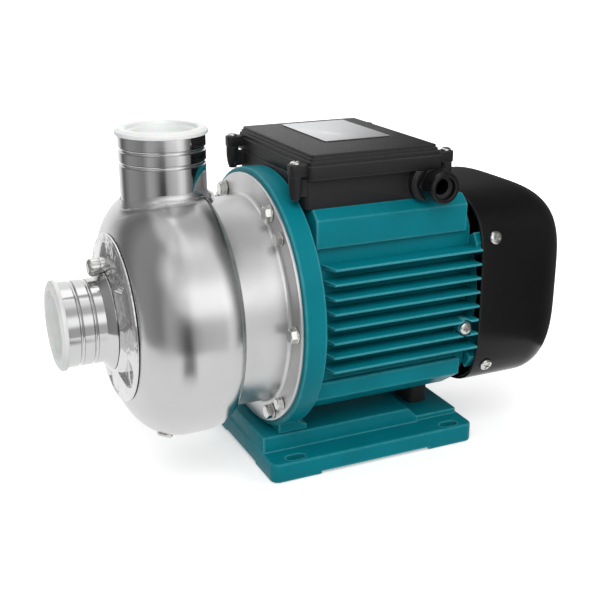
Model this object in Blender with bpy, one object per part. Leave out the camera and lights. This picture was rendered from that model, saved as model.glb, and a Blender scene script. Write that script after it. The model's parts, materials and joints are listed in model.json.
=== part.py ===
# End-suction centrifugal pump, close coupled to a finned motor on a cast foot.
#
# Units are metres and +Z is up. X runs along the shaft: the suction port faces -X and
# the fan cover is at +X. X = 0 in the drive frame is the front face of the casing
# flange, and the whole pump is then moved so that its plan centre is the origin.
# Each object is one sub-part in the place where it is fitted.

import math

import bmesh
import bpy
from mathutils import Matrix, Vector

# Fits
GAP = 0.0003                  # between two pieces that touch
RUN = 0.0010                  # running clearance round the rotor
HOLE = 0.0005                 # clearance of a screw or a plug in its hole
WALL = 0.0025                 # pressed steel of the wet end

# Casing, a pressed bowl with a wide belly, a short barrel and a bolting flange
BARREL_RADIUS = 0.0845
BARREL_LENGTH = 0.0380        # from the flange's face to the belly
BARREL_FILLET = 0.0030
FLANGE_WIDTH = 0.0179         # flange outside the barrel
FLANGE_RADIUS = BARREL_RADIUS + FLANGE_WIDTH
FLANGE_REAR_X = WALL
BELLY_BULGE = 0.0151          # belly outside the barrel
BELLY_LENGTH = 0.0748
BELLY_RADIUS = BARREL_RADIUS + BELLY_BULGE
BELLY_REAR_X = -BARREL_LENGTH
BELLY_FRONT_X = BELLY_REAR_X - BELLY_LENGTH
BELLY_NOSE_AXIAL = 0.0410     # rounding of the front corner along X
BELLY_NOSE_RADIAL = 0.0450    # rounding of the front corner across X
BELLY_REAR_FILLET = 0.0060

# Ports, both alike
PORT_OUTER_RADIUS = 0.0330
PORT_WALL = 0.0045
PORT_BORE_RADIUS = PORT_OUTER_RADIUS - PORT_WALL
PORT_GROOVE_1 = 0.0150        # from the outer face of the cap
PORT_GROOVE_2 = 0.0255
PORT_GROOVE_WIDTH = 0.0016
PORT_GROOVE_DEPTH = 0.0012
EYE_LIP = 0.0020              # front wall inside the port's bore
EYE_RADIUS = PORT_BORE_RADIUS - EYE_LIP
NECK_STEP = 0.0025            # root of the suction port, outside the port
SUCTION_NECK_RADIUS = PORT_OUTER_RADIUS + NECK_STEP
CONE_STEP = 0.0030            # skirt of the suction port, outside its root
SUCTION_CONE_RADIUS = SUCTION_NECK_RADIUS + CONE_STEP
SUCTION_CONE_LENGTH = 0.0055
SUCTION_LENGTH = 0.0468       # from the casing's front wall to the cap's face
SUCTION_CAP_FACE_X = BELLY_FRONT_X - SUCTION_LENGTH
DISCHARGE_INSET = 0.0300      # from the belly's rear wall to the outlet's axis
DISCHARGE_X = BELLY_REAR_X - DISCHARGE_INSET
DISCHARGE_LENGTH = 0.0452     # from the belly's top to the cap's face
THROAT_WALL = 0.0045          # casing wall under the outlet, inside its bore
DISCHARGE_THROAT_RADIUS = PORT_BORE_RADIUS - THROAT_WALL

# Stiffening plate on the front wall
STAR_THICKNESS = 0.0030
STAR_HUB_WIDTH = 0.0055
STAR_HUB_RISE = 0.0024
STAR_HUB_RADIUS = SUCTION_NECK_RADIUS + STAR_HUB_WIDTH
STAR_WIDTH = 0.0250           # pocket field and rim, outside the hub
STAR_RADIUS = STAR_HUB_RADIUS + STAR_WIDTH
STAR_RIB = 0.0055             # metal inside and outside the pockets
STAR_POCKETS = 8
STAR_POCKET_INNER = STAR_HUB_RADIUS + STAR_RIB
STAR_POCKET_OUTER = STAR_RADIUS - STAR_RIB
STAR_POCKET_ANGLE = 31.0      # degrees taken by one pocket
CONE_CLEARANCE = 0.0020       # between the plate's hub and the port's skirt
STAR_FACE_X = BELLY_FRONT_X - GAP - STAR_THICKNESS - STAR_HUB_RISE
SUCTION_CONE_END_X = STAR_FACE_X - CONE_CLEARANCE
SUCTION_CONE_START_X = SUCTION_CONE_END_X - SUCTION_CONE_LENGTH

# Caps that protect the port threads
CAP_OVERHANG = 0.0020
CAP_RADIUS = PORT_OUTER_RADIUS + CAP_OVERHANG
CAP_RIM = 0.0045
CAP_PLUG_DEPTH = 0.0120
CAP_WALL = 0.0020
CAP_DISH_DEPTH = 0.0070
SUCTION_RIM_X = SUCTION_CAP_FACE_X + CAP_RIM + GAP

# Plugs of the casing
FILL_PLUG_RADIUS = 0.0070
FILL_PLUG_INSET = 0.0015      # outside the hub of the stiffening plate
FILL_PLUG_OFFSET = STAR_HUB_RADIUS + FILL_PLUG_INSET
FILL_PLUG_REACH = 0.0142      # from the front wall
FILL_PLUG_FACE_X = BELLY_FRONT_X - FILL_PLUG_REACH
FILL_PLUG_SHANK = 0.0042
DRAIN_PLUG_INSET = 0.0480     # from the belly's rear wall
DRAIN_PLUG_X = BELLY_REAR_X - DRAIN_PLUG_INSET
DRAIN_PLUG_ANGLE = 250.0      # degrees round the shaft, 180 is the near side
DRAIN_PLUG_RADIUS = 0.0060
DRAIN_PLUG_HEAD = 0.0040
DRAIN_PLUG_SHANK = 0.0036

# Flange screws: six wide ones for the casing and four small ones for the bracket
SCREW_INSET = 0.0100          # from the barrel to the screws' circle
FLANGE_SCREW_CIRCLE = BARREL_RADIUS + SCREW_INSET
CASING_SCREWS = 6
CASING_SCREW_THREAD = 0.0030
CASING_SCREW_FLATS = 0.0100
CASING_SCREW_COLLAR = 0.0064
BRACKET_SCREWS = 4
BRACKET_SCREW_THREAD = 0.0025
BRACKET_SCREW_FLATS = 0.0085
BRACKET_SCREW_COLLAR = 0.0052
FLANGE_SCREW_DEPTH = 0.0140
HEAD_HEIGHT_RATIO = 0.5       # of the width over flats
COLLAR_HEIGHT_RATIO = 0.16    # of the collar's radius

# Shaft, from the front bearing's bore to both ends
FRONT_BEARING_BORE = 0.0100
REAR_BEARING_BORE = 0.0085
WET_STEP = 0.0020
SHAFT_WET_RADIUS = FRONT_BEARING_BORE - WET_STEP
IMPELLER_STEP = 0.0010
SHAFT_IMPELLER_RADIUS = SHAFT_WET_RADIUS - IMPELLER_STEP
THREAD_STEP = 0.0020
SHAFT_THREAD_RADIUS = SHAFT_IMPELLER_RADIUS - THREAD_STEP
CORE_STEP = 0.0030
SHAFT_CORE_RADIUS = FRONT_BEARING_BORE + CORE_STEP
FAN_STEP = 0.0010
SHAFT_FAN_RADIUS = REAR_BEARING_BORE - FAN_STEP

# Impeller, open towards the suction port
IMPELLER_ROOM = 0.0306        # from the impeller to the belly
IMPELLER_RADIUS = BELLY_RADIUS - IMPELLER_ROOM
IMPELLER_FRONT_ROOM = 0.0048  # from the blades to the front wall
IMPELLER_BLADE_DEPTH = 0.0275
IMPELLER_BLADE_FRONT_X = BELLY_FRONT_X + WALL + IMPELLER_FRONT_ROOM
IMPELLER_DISC = 0.0030
IMPELLER_DISC_FRONT_X = IMPELLER_BLADE_FRONT_X + IMPELLER_BLADE_DEPTH
IMPELLER_HUB_WALL = 0.0080
IMPELLER_HUB_RADIUS = SHAFT_IMPELLER_RADIUS + IMPELLER_HUB_WALL
IMPELLER_HUB_NOSE = 0.0200    # hub in front of the disc
IMPELLER_HUB_TAIL = 0.0080    # hub from the disc's face to its rear end
IMPELLER_HUB_FRONT_X = IMPELLER_DISC_FRONT_X - IMPELLER_HUB_NOSE
IMPELLER_HUB_REAR_X = IMPELLER_DISC_FRONT_X + IMPELLER_HUB_TAIL
IMPELLER_BLADES = 6
IMPELLER_EYE = 0.0060         # from the hub to the inner end of a blade
IMPELLER_BLADE_INNER = IMPELLER_HUB_RADIUS + IMPELLER_EYE
IMPELLER_BLADE_THICKNESS = 0.0028
IMPELLER_BLADE_SWEEP = 78.0   # degrees from the inner to the outer end
IMPELLER_NUT_WALL = 0.0035    # from the thread to a flat
IMPELLER_NUT_FLATS = 2 * (SHAFT_THREAD_RADIUS + IMPELLER_NUT_WALL)
IMPELLER_NUT_LENGTH = 0.0080
SHAFT_TIP = 0.0012            # shaft in front of the nut
SHAFT_TIP_X = IMPELLER_HUB_FRONT_X - GAP - IMPELLER_NUT_LENGTH - SHAFT_TIP

# Seal plate, a pressed cup that closes the casing, and the shaft seal in it
SEAL_PLATE_LAP = 0.0025       # rim outside the barrel
SEAL_PLATE_RADIUS = BARREL_RADIUS + SEAL_PLATE_LAP
O_RING_ROOM = 0.0045
SEAL_CUP_RADIUS = BARREL_RADIUS - WALL - O_RING_ROOM
SEAL_LENGTH = 0.0290          # from the impeller's hub to the cup
SEAL_CUP_FACE_X = IMPELLER_HUB_REAR_X + SEAL_LENGTH
SEAL_CUP_FILLET = 0.0080
SEAL_SEAT_WALL = 0.0090
SEAL_SEAT_BORE = SHAFT_WET_RADIUS + SEAL_SEAT_WALL
SEAL_LIP = 0.0035
SEAL_SEAT_LIP = SEAL_SEAT_BORE + SEAL_LIP
SEAL_SEAT_NOSE = 0.0050
SEAL_SEAT_TAIL = 0.0045
SEAL_SEAT_FRONT_X = SEAL_CUP_FACE_X - SEAL_SEAT_NOSE
SEAL_SEAT_REAR_X = SEAL_CUP_FACE_X + SEAL_SEAT_TAIL
SEAL_HEAD_WALL = 0.0070
SEAL_HEAD_RADIUS = SHAFT_WET_RADIUS + SEAL_HEAD_WALL
SEAL_HEAD_LENGTH = 0.0115
SPRING_WIRE = 0.0012
SPRING_TURNS = 3.0

# Motor bracket, the disc between the pump and the motor
BRACKET_FRONT_X = FLANGE_REAR_X + GAP
SEAL_FLANGE_REAR_X = BRACKET_FRONT_X + WALL
BRACKET_MARGIN = 0.0041       # disc outside the casing's flange
BRACKET_RADIUS = FLANGE_RADIUS + BRACKET_MARGIN
BRACKET_THICKNESS = 0.0172
BRACKET_REAR_X = BRACKET_FRONT_X + BRACKET_THICKNESS
BRACKET_EDGE = 0.0015
BRACKET_WEB = 0.0100
SPIGOT_LENGTH = 0.0050
SPIGOT_WALL = 0.0047
NECK_HALF_WIDTH = 0.0400
NECK_LENGTH = 0.0110          # neck behind the disc
NECK_SOLE = 0.0050            # upright edge at the foot of the neck
NECK_REAR_X = BRACKET_REAR_X + NECK_LENGTH

# Bearings
BEARING_INSET = 0.0040        # from a housing end to the bearing
FRONT_BEARING_RACE = 0.0135
FRONT_BEARING_OUTER = FRONT_BEARING_BORE + FRONT_BEARING_RACE
FRONT_BEARING_X = BRACKET_REAR_X + BEARING_INSET
FRONT_BEARING_WIDTH = 0.0140
FRONT_HUB_WALL = 0.0095
BRACKET_HUB_RADIUS = FRONT_BEARING_OUTER + FRONT_HUB_WALL
REAR_BEARING_RACE = 0.0115
REAR_BEARING_OUTER = REAR_BEARING_BORE + REAR_BEARING_RACE
REAR_BEARING_WIDTH = 0.0120
REAR_HUB_WALL = 0.0080
SHIELD_HUB_RADIUS = REAR_BEARING_OUTER + REAR_HUB_WALL
BEARING_SPLIT = 0.0010        # free ring between the inner and the outer race

# Motor housing, heights counted from the shaft line
HOUSING_FRONT_X = BRACKET_REAR_X + GAP
HOUSING_LENGTH = 0.1457
HOUSING_REAR_X = HOUSING_FRONT_X + HOUSING_LENGTH
REAR_BEARING_X = HOUSING_REAR_X + BEARING_INSET
HOUSING_HALF = 0.0720
HOUSING_CORNER = 0.0180
HOUSING_WALL = 0.0100
HOUSING_BORE = HOUSING_HALF - HOUSING_WALL
SHOULDER_INSET = 0.0057       # from the housing's front face
SHOULDER_START_X = HOUSING_FRONT_X + SHOULDER_INSET
SHOULDER_REAR_INSET = 0.0070
SHOULDER_END_X = HOUSING_REAR_X - SHOULDER_REAR_INSET
SHOULDER_REACH = 0.0020
SHOULDER_Y = HOUSING_HALF + SHOULDER_REACH
SHOULDER_HEIGHT = 0.0295
SHOULDER_CHAMFER = 0.0070
HOUSING_RISE = 0.0140         # top and bottom outside the core
HOUSING_TOP_Z = HOUSING_HALF + HOUSING_RISE
HOUSING_BELOW_Z = -HOUSING_HALF - HOUSING_RISE + 0.0020
HOUSING_TOP_INSET = 0.0060
HOUSING_TOP_HALF = HOUSING_HALF - HOUSING_TOP_INSET
SHOULDER_HIGH_Z = HOUSING_TOP_Z - SHOULDER_CHAMFER
SHOULDER_LOW_Z = HOUSING_TOP_Z - SHOULDER_HEIGHT
SKIRT_HEIGHT = 0.0140
SKIRT_RISE = 0.0170           # from the housing's underside to the skirt's lower edge
SKIRT_LOW_Z = HOUSING_BELOW_Z + SKIRT_RISE
SKIRT_TOP_Z = SKIRT_LOW_Z + SKIRT_HEIGHT
SKIRT_TAPER = 0.0240
HOUSING_BELOW_HALF = SHOULDER_Y - SKIRT_TAPER
FIN_COUNT = 8
FIN_END_ROOM = 1.2            # pitches left over at both ends of the row
FIN_PITCH = (SHOULDER_LOW_Z - SKIRT_TOP_Z) / (FIN_COUNT + FIN_END_ROOM)
FIN_REACH = 0.0120
FIN_TIP_Y = HOUSING_HALF + FIN_REACH
FIN_THICKNESS = 0.0028
FIN_INSET = 0.0060            # from the shoulder's front end
FIN_START_X = SHOULDER_START_X + FIN_INSET
EARTH_INSET = 0.0085
EARTH_X = HOUSING_REAR_X - EARTH_INSET
EARTH_BOSS_RADIUS = 0.0060
EARTH_DEPTH = 0.0030          # boss face inside the fin tips
EARTH_BOSS_Y = FIN_TIP_Y - EARTH_DEPTH
EARTH_SPOT_WIDTH = 0.0010     # free ring round the boss
EARTH_SPOT_RADIUS = EARTH_BOSS_RADIUS + EARTH_SPOT_WIDTH
EARTH_HEAD_INSET = 0.0005
EARTH_HEAD_RADIUS = EARTH_BOSS_RADIUS - EARTH_HEAD_INSET
EARTH_HEAD_HEIGHT = 0.0032
EARTH_THREAD = 0.0020
EARTH_LENGTH = 0.0073

# Rotor core and stator
STATOR_DEPTH = 0.0268         # from the housing's bore to the rotor
ROTOR_RADIUS = HOUSING_BORE - STATOR_DEPTH
ROTOR_FRONT_ROOM = 0.0397     # from the housing's ends to the laminations
ROTOR_REAR_ROOM = 0.0360
ROTOR_START_X = HOUSING_FRONT_X + ROTOR_FRONT_ROOM
ROTOR_END_X = HOUSING_REAR_X - ROTOR_REAR_ROOM
ROTOR_RING_DROP = 0.0040      # end ring under the rotor's surface
ROTOR_RING = 0.0060           # height and length of the end ring
WINDING_BORE = ROTOR_RADIUS + 2 * RUN
SLOT_LINER = 0.0028
STATOR_BORE = WINDING_BORE + SLOT_LINER
WINDING_ROOM = 0.0060
WINDING_RADIUS = HOUSING_BORE - WINDING_ROOM
WINDING_OVERHANG = 0.0200
WINDING_EDGE = 0.0060

# Cast foot
FOOT_PLATE = 0.0164
FOOT_STEP_RISE = 0.0042
FOOT_DECK_RISE = 0.0092
FOOT_STEP_Z = FOOT_PLATE + FOOT_STEP_RISE
FOOT_DECK_Z = FOOT_STEP_Z + FOOT_DECK_RISE
FOOT_FRONT_REACH = 0.0133     # in front of the bracket
FOOT_REAR_REACH = 0.0115      # behind the housing
FOOT_FRONT_X = BRACKET_FRONT_X - FOOT_FRONT_REACH
FOOT_REAR_X = HOUSING_REAR_X + FOOT_REAR_REACH
FOOT_DECK_HALF_WIDTH = 0.0500
FOOT_STEP_INSET = 0.0020
FOOT_STEP_HALF_WIDTH = FOOT_DECK_HALF_WIDTH - FOOT_STEP_INSET
FOOT_FLANGE = 0.0226          # plate outside the deck
FOOT_HALF_WIDTH = FOOT_DECK_HALF_WIDTH + FOOT_FLANGE
FOOT_CORNER = 0.0070
FOOT_EDGE = 0.0016
FOOT_DECK_SLOPE = 0.0085
FOOT_DECK_DRAFT = 0.0015
PAD_HEIGHT = 0.0028
PAD_LENGTH = 0.0430
PAD_WIDTH = 0.0377
FOOT_POCKET_Z = 0.0110
FOOT_POCKET_HALF_WIDTH = 0.0320
FOOT_POCKET_END = 0.0115      # solid metal at both ends
FOOT_POCKET_START_X = FOOT_FRONT_X + FOOT_POCKET_END
FOOT_POCKET_END_X = FOOT_REAR_X - FOOT_POCKET_END
SLOT_LENGTH = 0.0170
SLOT_WIDTH = 0.0090
SLOT_EDGE_Y = 0.0082          # from the slot's centre line to the side of the foot
SLOT_FRONT_INSET = 0.0230
SLOT_REAR_INSET = 0.0205
SLOT_FRONT_X = FOOT_FRONT_X + SLOT_FRONT_INSET
SLOT_REAR_X = FOOT_REAR_X - SLOT_REAR_INSET
FOOT_SCREW_INSET = 0.0075     # in front of the bracket's rear face
FOOT_SCREW_X = BRACKET_REAR_X - FOOT_SCREW_INSET
FOOT_SCREW_ROOM = 0.0100      # from the pocket's side to the screw
FOOT_SCREW_Y = FOOT_POCKET_HALF_WIDTH - FOOT_SCREW_ROOM
FOOT_SCREW_THREAD = 0.0040
FOOT_SCREW_FLATS = 0.0130
FOOT_SCREW_HEAD = 0.0053
FOOT_SCREW_GRIP = 0.0340
SUPPORT_INSET = 0.0175        # from the foot's rear end to the support
SUPPORT_LENGTH = 0.0180
SUPPORT_CORNER = 0.0040
SUPPORT_HALF_WIDTH = 0.0240
SUPPORT_START_X = FOOT_REAR_X - SUPPORT_INSET - SUPPORT_LENGTH
DECK_ROOM = 0.0150            # from the deck's end to the support
FOOT_DECK_END_X = SUPPORT_START_X - DECK_ROOM

# The shaft is as high as the flange needs over the deck.
FLANGE_CLEARANCE = 0.0020
SHAFT_HEIGHT = FOOT_DECK_Z + FLANGE_RADIUS + FLANGE_CLEARANCE
DISCHARGE_CAP_FACE_Z = SHAFT_HEIGHT + BELLY_RADIUS + DISCHARGE_LENGTH
DISCHARGE_RIM_Z = DISCHARGE_CAP_FACE_Z - CAP_RIM - GAP
HOUSING_TOP = SHAFT_HEIGHT + HOUSING_TOP_Z
HOUSING_UNDERSIDE = SHAFT_HEIGHT + HOUSING_BELOW_Z

# Fan cover
COVER_ROOM = 0.0035           # from the housing to the cover's open end
COVER_START_X = HOUSING_REAR_X + COVER_ROOM
COVER_LENGTH = 0.1022
COVER_END_X = COVER_START_X + COVER_LENGTH
COVER_HALF = FIN_TIP_Y
COVER_DROP = 0.0020           # the cover's middle lies this far under the shaft
COVER_POWER = 4.0             # squareness of the section
COVER_WALL = 0.0025
COVER_DOME_AXIAL = 0.0490
COVER_END_HALF = 0.0253       # flat middle of the dome
COVER_DOME_RADIAL = COVER_HALF - COVER_END_HALF
COVER_SLOTS = 7
COVER_SLOT_PITCH = 0.0120
COVER_SLOT_WIDTH = 0.0060
COVER_SLOT_CIRCLE = 0.0500
COVER_SCREW_INSET = 0.0125
COVER_SCREW_X = COVER_START_X + COVER_SCREW_INSET
COVER_SCREW_TOP = 0.0340      # from the cover's top
COVER_SCREW_BASE = 0.0230     # from the cover's bottom
COVER_SCREW_HIGH = COVER_HALF - COVER_SCREW_TOP
COVER_SCREW_LOW = COVER_SCREW_BASE - COVER_HALF
COVER_SCREW_HEAD = 0.0055
COVER_SCREW_HEIGHT = 0.0030
COVER_SCREW_THREAD = 0.0022
COVER_SCREW_LENGTH = 0.0120

# Rear end shield
SHIELD_INSET = 0.0020
SHIELD_FRONT_X = HOUSING_REAR_X + GAP
SHIELD_HALF = HOUSING_HALF - SHIELD_INSET
SHIELD_THICKNESS = 0.0090
SHIELD_LUG_REACH = 0.0240
SHIELD_LUG_WIDTH = 0.0130

# Fan, behind the rear bearing
FAN_ROOM = 0.0140             # from the rear bearing to the fan
FAN_START_X = REAR_BEARING_X + REAR_BEARING_WIDTH + FAN_ROOM
FAN_TIP_ROOM = 0.0180         # from the fan to the cover
FAN_RADIUS = COVER_HALF - FAN_TIP_ROOM
FAN_HUB_WALL = 0.0065
FAN_HUB_RADIUS = SHAFT_FAN_RADIUS + FAN_HUB_WALL
FAN_DISC = 0.0025
FAN_DEPTH = 0.0240
FAN_BLADES = 9
FAN_BLADE = 0.0024
CLIP_WIDTH = 0.0012
CLIP_REACH = 0.0040
CLIP_RADIUS = SHAFT_FAN_RADIUS + CLIP_REACH
CLIP_GROOVE = 0.0010
SHAFT_TAIL = 0.0090           # shaft behind the fan
SHAFT_END_X = FAN_START_X + FAN_DEPTH + SHAFT_TAIL

# Terminal box, which stands on the housing
BOX_START_X = HOUSING_FRONT_X + GAP
BOX_LENGTH = 0.1138
BOX_END_X = BOX_START_X + BOX_LENGTH
BOX_HALF_WIDTH = 0.0660
BOX_WALL = 0.0030
BOX_CORNER = 0.0040
BOX_FLOOR_Z = HOUSING_TOP + GAP
BOX_WIRE_HOLE = 0.0120
LID_OVERHANG = 0.0070
LID_HALF_WIDTH = BOX_HALF_WIDTH + LID_OVERHANG
LID_RISE = 0.0187             # lid's top over the box's rim
LID_STEP_RISE = 0.0107
LID_STEP = 0.0015
LID_WALL = 0.0025
EAR_RISE = 0.0037
EAR_HEIGHT = 0.0100
POST_RADIUS = 0.0052
POST_OFFSET_X = 0.0076        # from the box's end to the post's centre line
POST_INSET_Y = 0.0020
POST_Y = BOX_HALF_WIDTH - POST_INSET_Y
POST_FOOT_RISE = 0.0085       # from the box's floor
POST_LENGTH = 0.0143          # from a post's foot to the box's rim
POST_TAPER = 0.0040
POST_CLEARANCE = 0.0060       # between a post and the bracket's disc
BLOCK_INSET = 0.0274
BLOCK_X = BOX_START_X + BLOCK_INSET
BLOCK_SIZE = (0.0220, 0.0560, 0.0160)
BLOCK_CORNER = 0.0020
CAPACITOR_ROOM = 0.0420
CAPACITOR_X = BLOCK_X + CAPACITOR_ROOM
CAPACITOR_RADIUS = 0.0155
CAPACITOR_LENGTH = 0.0800
LID_SCREW_HEAD = 0.0040
LID_SCREW_HEIGHT = 0.0022
LID_SCREW_THREAD = 0.0018
LID_SCREW_LENGTH = 0.0220
LABEL_INSET = 0.0644
LABEL_X = BOX_START_X + LABEL_INSET
LABEL_Y = 0.0165
LABEL_LENGTH = 0.0580
LABEL_WIDTH = 0.0840
LABEL_THICKNESS = 0.0006
LABEL_CORNER = 0.0015

# Cable gland in the near wall of the box
GLAND_INSET_X = 0.0104
GLAND_DROP = 0.0103           # from the box's rim to the gland
GLAND_X = BOX_END_X - GLAND_INSET_X
GLAND_BORE = 0.0080
GLAND_THREAD_WALL = 0.0020
GLAND_THREAD_RADIUS = GLAND_BORE + GLAND_THREAD_WALL
GLAND_BOSS_WALL = 0.0065
GLAND_BOSS_RADIUS = GLAND_THREAD_RADIUS + GLAND_BOSS_WALL
GLAND_BOSS_REACH = 0.0090
GLAND_BOSS_Y = BOX_HALF_WIDTH + GLAND_BOSS_REACH
GLAND_EDGE = 0.0020
GLAND_HEX_WALL = 0.0020
GLAND_HEX_FLATS = 2 * (GLAND_THREAD_RADIUS + GLAND_HEX_WALL)
GLAND_HEX_LENGTH = 0.0045
GLAND_SLEEVE_WALL = 0.0016
GLAND_SLEEVE_RADIUS = GLAND_BORE + GLAND_SLEEVE_WALL
GLAND_SLEEVE_LENGTH = 0.0080
GLAND_NUT_WALL = 0.0029
GLAND_NUT_RADIUS = GLAND_SLEEVE_RADIUS + GLAND_NUT_WALL
GLAND_NUT_LENGTH = 0.0150
GLAND_SEAL_WALL = 0.0041
GLAND_SEAL_BORE = GLAND_SLEEVE_RADIUS - GLAND_SEAL_WALL
GLAND_SEAL_LENGTH = 0.0035

# Circle steps
NOSE_STEPS = 6
COVER_STEPS = 28
COVER_DOME_STEPS = 4
STEPS_LARGE = 28
STEPS_MEDIUM = 20
STEPS_SMALL = 10
STEPS_TINY = 8

# The plan centre becomes the origin.
DRIVE_CENTRE_X = (SUCTION_CAP_FACE_X + COVER_END_X) / 2


def post_foot_height():
    # High enough over the floor, and clear of the bracket's disc.
    over_disc = math.sqrt(max((BRACKET_RADIUS + POST_CLEARANCE) ** 2 - POST_Y ** 2, 0.0))
    return max(BOX_FLOOR_Z + POST_FOOT_RISE, SHAFT_HEIGHT + over_disc)


def box_rim_height():
    # The box is deep enough for its posts and for the capacitor under the lid.
    tall = BOX_FLOOR_Z + BOX_WALL + 2 * CAPACITOR_RADIUS + 4 * GAP
    return max(POST_FOOT_Z + POST_LENGTH, tall - (LID_RISE - LID_WALL))


POST_FOOT_Z = post_foot_height()
BOX_RIM_Z = box_rim_height()
GLAND_Z = BOX_RIM_Z - GLAND_DROP
LID_BOTTOM_Z = BOX_RIM_Z + GAP
LID_STEP_Z = BOX_RIM_Z + LID_STEP_RISE
LID_TOP_Z = BOX_RIM_Z + LID_RISE
EAR_BOTTOM_Z = BOX_RIM_Z + EAR_RISE
EAR_TOP_Z = EAR_BOTTOM_Z + EAR_HEIGHT


# Materials

def material(name, colour, roughness, metallic):
    mat = bpy.data.materials.new(name)
    mat.use_nodes = True
    shader = mat.node_tree.nodes["Principled BSDF"]
    shader.inputs["Base Color"].default_value = (*colour, 1.0)
    shader.inputs["Roughness"].default_value = roughness
    shader.inputs["Metallic"].default_value = metallic
    mat.diffuse_color = (*colour, 1.0)
    return mat


def make_materials():
    return {
        "steel": material("pressed_stainless_steel", (0.62, 0.61, 0.60), 0.30, 1.0),
        "zinc": material("plated_screw_steel", (0.66, 0.66, 0.64), 0.28, 1.0),
        "paint": material("teal_paint", (0.005, 0.165, 0.195), 0.42, 0.0),
        "black": material("black_plastic", (0.018, 0.018, 0.018), 0.45, 0.0),
        "white": material("white_plastic", (0.80, 0.82, 0.80), 0.40, 0.0),
        "rubber": material("black_rubber", (0.015, 0.015, 0.015), 0.80, 0.0),
        "ceramic": material("seal_ceramic", (0.78, 0.74, 0.66), 0.35, 0.0),
        "carbon": material("seal_carbon", (0.05, 0.05, 0.055), 0.50, 0.0),
        "copper": material("varnished_copper", (0.45, 0.16, 0.06), 0.40, 0.6),
        "iron": material("electrical_steel", (0.25, 0.25, 0.26), 0.50, 0.8),
        "label": material("blank_label_foil", (0.70, 0.71, 0.72), 0.35, 0.8),
    }


# Modelling helpers

def empty(name, location, parent=None):
    obj = bpy.data.objects.new(name, None)
    bpy.context.scene.collection.objects.link(obj)
    obj.parent = parent
    obj.location = location
    return obj


def finish(name, bm, mat, parent, location=(0, 0, 0), rotation=(0, 0, 0), sharp=35.0):
    bmesh.ops.recalc_face_normals(bm, faces=bm.faces)
    mesh = bpy.data.meshes.new(name)
    bm.to_mesh(mesh)
    bm.free()
    if mat is not None:
        mesh.materials.append(mat)
    mesh.shade_smooth()
    mesh.set_sharp_from_angle(angle=math.radians(sharp))
    obj = bpy.data.objects.new(name, mesh)
    bpy.context.scene.collection.objects.link(obj)
    obj.parent = parent
    obj.location = location
    obj.rotation_euler = rotation
    return obj


def spin_profile(bm, profile, steps):
    # A closed (x, radius) outline is spun about the X axis. Points on the axis merge.
    verts = []
    for x, radius in profile:
        verts.append(bm.verts.new((x, radius, 0.0)))
    edges = []
    for index, vert in enumerate(verts):
        edges.append(bm.edges.new((vert, verts[(index + 1) % len(verts)])))
    on_axis = [edge for edge in edges if all(abs(v.co.y) < 1e-9 for v in edge.verts)]
    edges = [edge for edge in edges if edge not in on_axis]
    for edge in on_axis:
        bm.edges.remove(edge)
    bmesh.ops.spin(bm, geom=verts + edges, cent=(0, 0, 0), axis=(1, 0, 0), dvec=(0, 0, 0),
                   angle=2 * math.pi, steps=steps, use_merge=True, use_duplicate=False)
    bmesh.ops.remove_doubles(bm, verts=bm.verts, dist=1e-6)


def turned(name, profile, mat, parent, location=(0, 0, 0), rotation=(0, 0, 0),
           steps=STEPS_MEDIUM, sharp=35.0):
    bm = bmesh.new()
    spin_profile(bm, profile, steps)
    return finish(name, bm, mat, parent, location, rotation, sharp)


def add_prism(bm, outline, axis, start, end):
    # The outline lies in the plane across the axis and is extruded from start to end.
    def place(u, v, w):
        if axis == "X":
            return (w, u, v)
        if axis == "Y":
            return (u, w, v)
        return (u, v, w)
    base = [bm.verts.new(place(u, v, start)) for u, v in outline]
    face = bm.faces.new(base)
    grown = bmesh.ops.extrude_face_region(bm, geom=[face])
    moved = [item for item in grown["geom"] if isinstance(item, bmesh.types.BMVert)]
    shift = Vector(place(0.0, 0.0, end - start))
    bmesh.ops.translate(bm, verts=moved, vec=shift)
    return base + moved


def prism(name, outline, axis, start, end, mat, parent, location=(0, 0, 0),
          rotation=(0, 0, 0), sharp=35.0):
    bm = bmesh.new()
    add_prism(bm, outline, axis, start, end)
    return finish(name, bm, mat, parent, location, rotation, sharp)


def add_cylinder(bm, radius, start, end, direction, centre, steps):
    # A closed cylinder whose axis is the direction, from start to end along it.
    turn = Vector((0, 0, 1)).rotation_difference(Vector(direction)).to_matrix().to_4x4()
    middle = Vector(centre) + Vector(direction).normalized() * (start + end) / 2
    bmesh.ops.create_cone(bm, cap_ends=True, segments=steps, radius1=radius, radius2=radius,
                          depth=end - start, matrix=Matrix.Translation(middle) @ turn)


def rectangle(width, height, corner=0.0, steps=4, centre=(0.0, 0.0)):
    cx, cy = centre
    if corner <= 0.0:
        return [(cx - width / 2, cy - height / 2), (cx + width / 2, cy - height / 2),
                (cx + width / 2, cy + height / 2), (cx - width / 2, cy + height / 2)]
    points = []
    for quarter, (sx, sy) in enumerate(((1, 1), (-1, 1), (-1, -1), (1, -1))):
        ox = cx + sx * (width / 2 - corner)
        oy = cy + sy * (height / 2 - corner)
        for step in range(steps + 1):
            angle = math.pi / 2 * (quarter + step / steps)
            points.append((ox + corner * math.cos(angle), oy + corner * math.sin(angle)))
    return points


def stadium(length, width, steps=5, centre=(0.0, 0.0)):
    return rectangle(length, width, width / 2 - 1e-5, steps, centre)


def hexagon(flats):
    corner = flats / math.sqrt(3)
    return [(corner * math.cos(math.radians(60 * k)), corner * math.sin(math.radians(60 * k)))
            for k in range(6)]


def arc(cx, cy, rx, ry, start, end, steps):
    points = []
    for step in range(steps + 1):
        angle = math.radians(start + (end - start) * step / steps)
        points.append((cx + rx * math.cos(angle), cy + ry * math.sin(angle)))
    return points


def helper(obj):
    obj.hide_render = True
    obj.display_type = "WIRE"
    return obj


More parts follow.
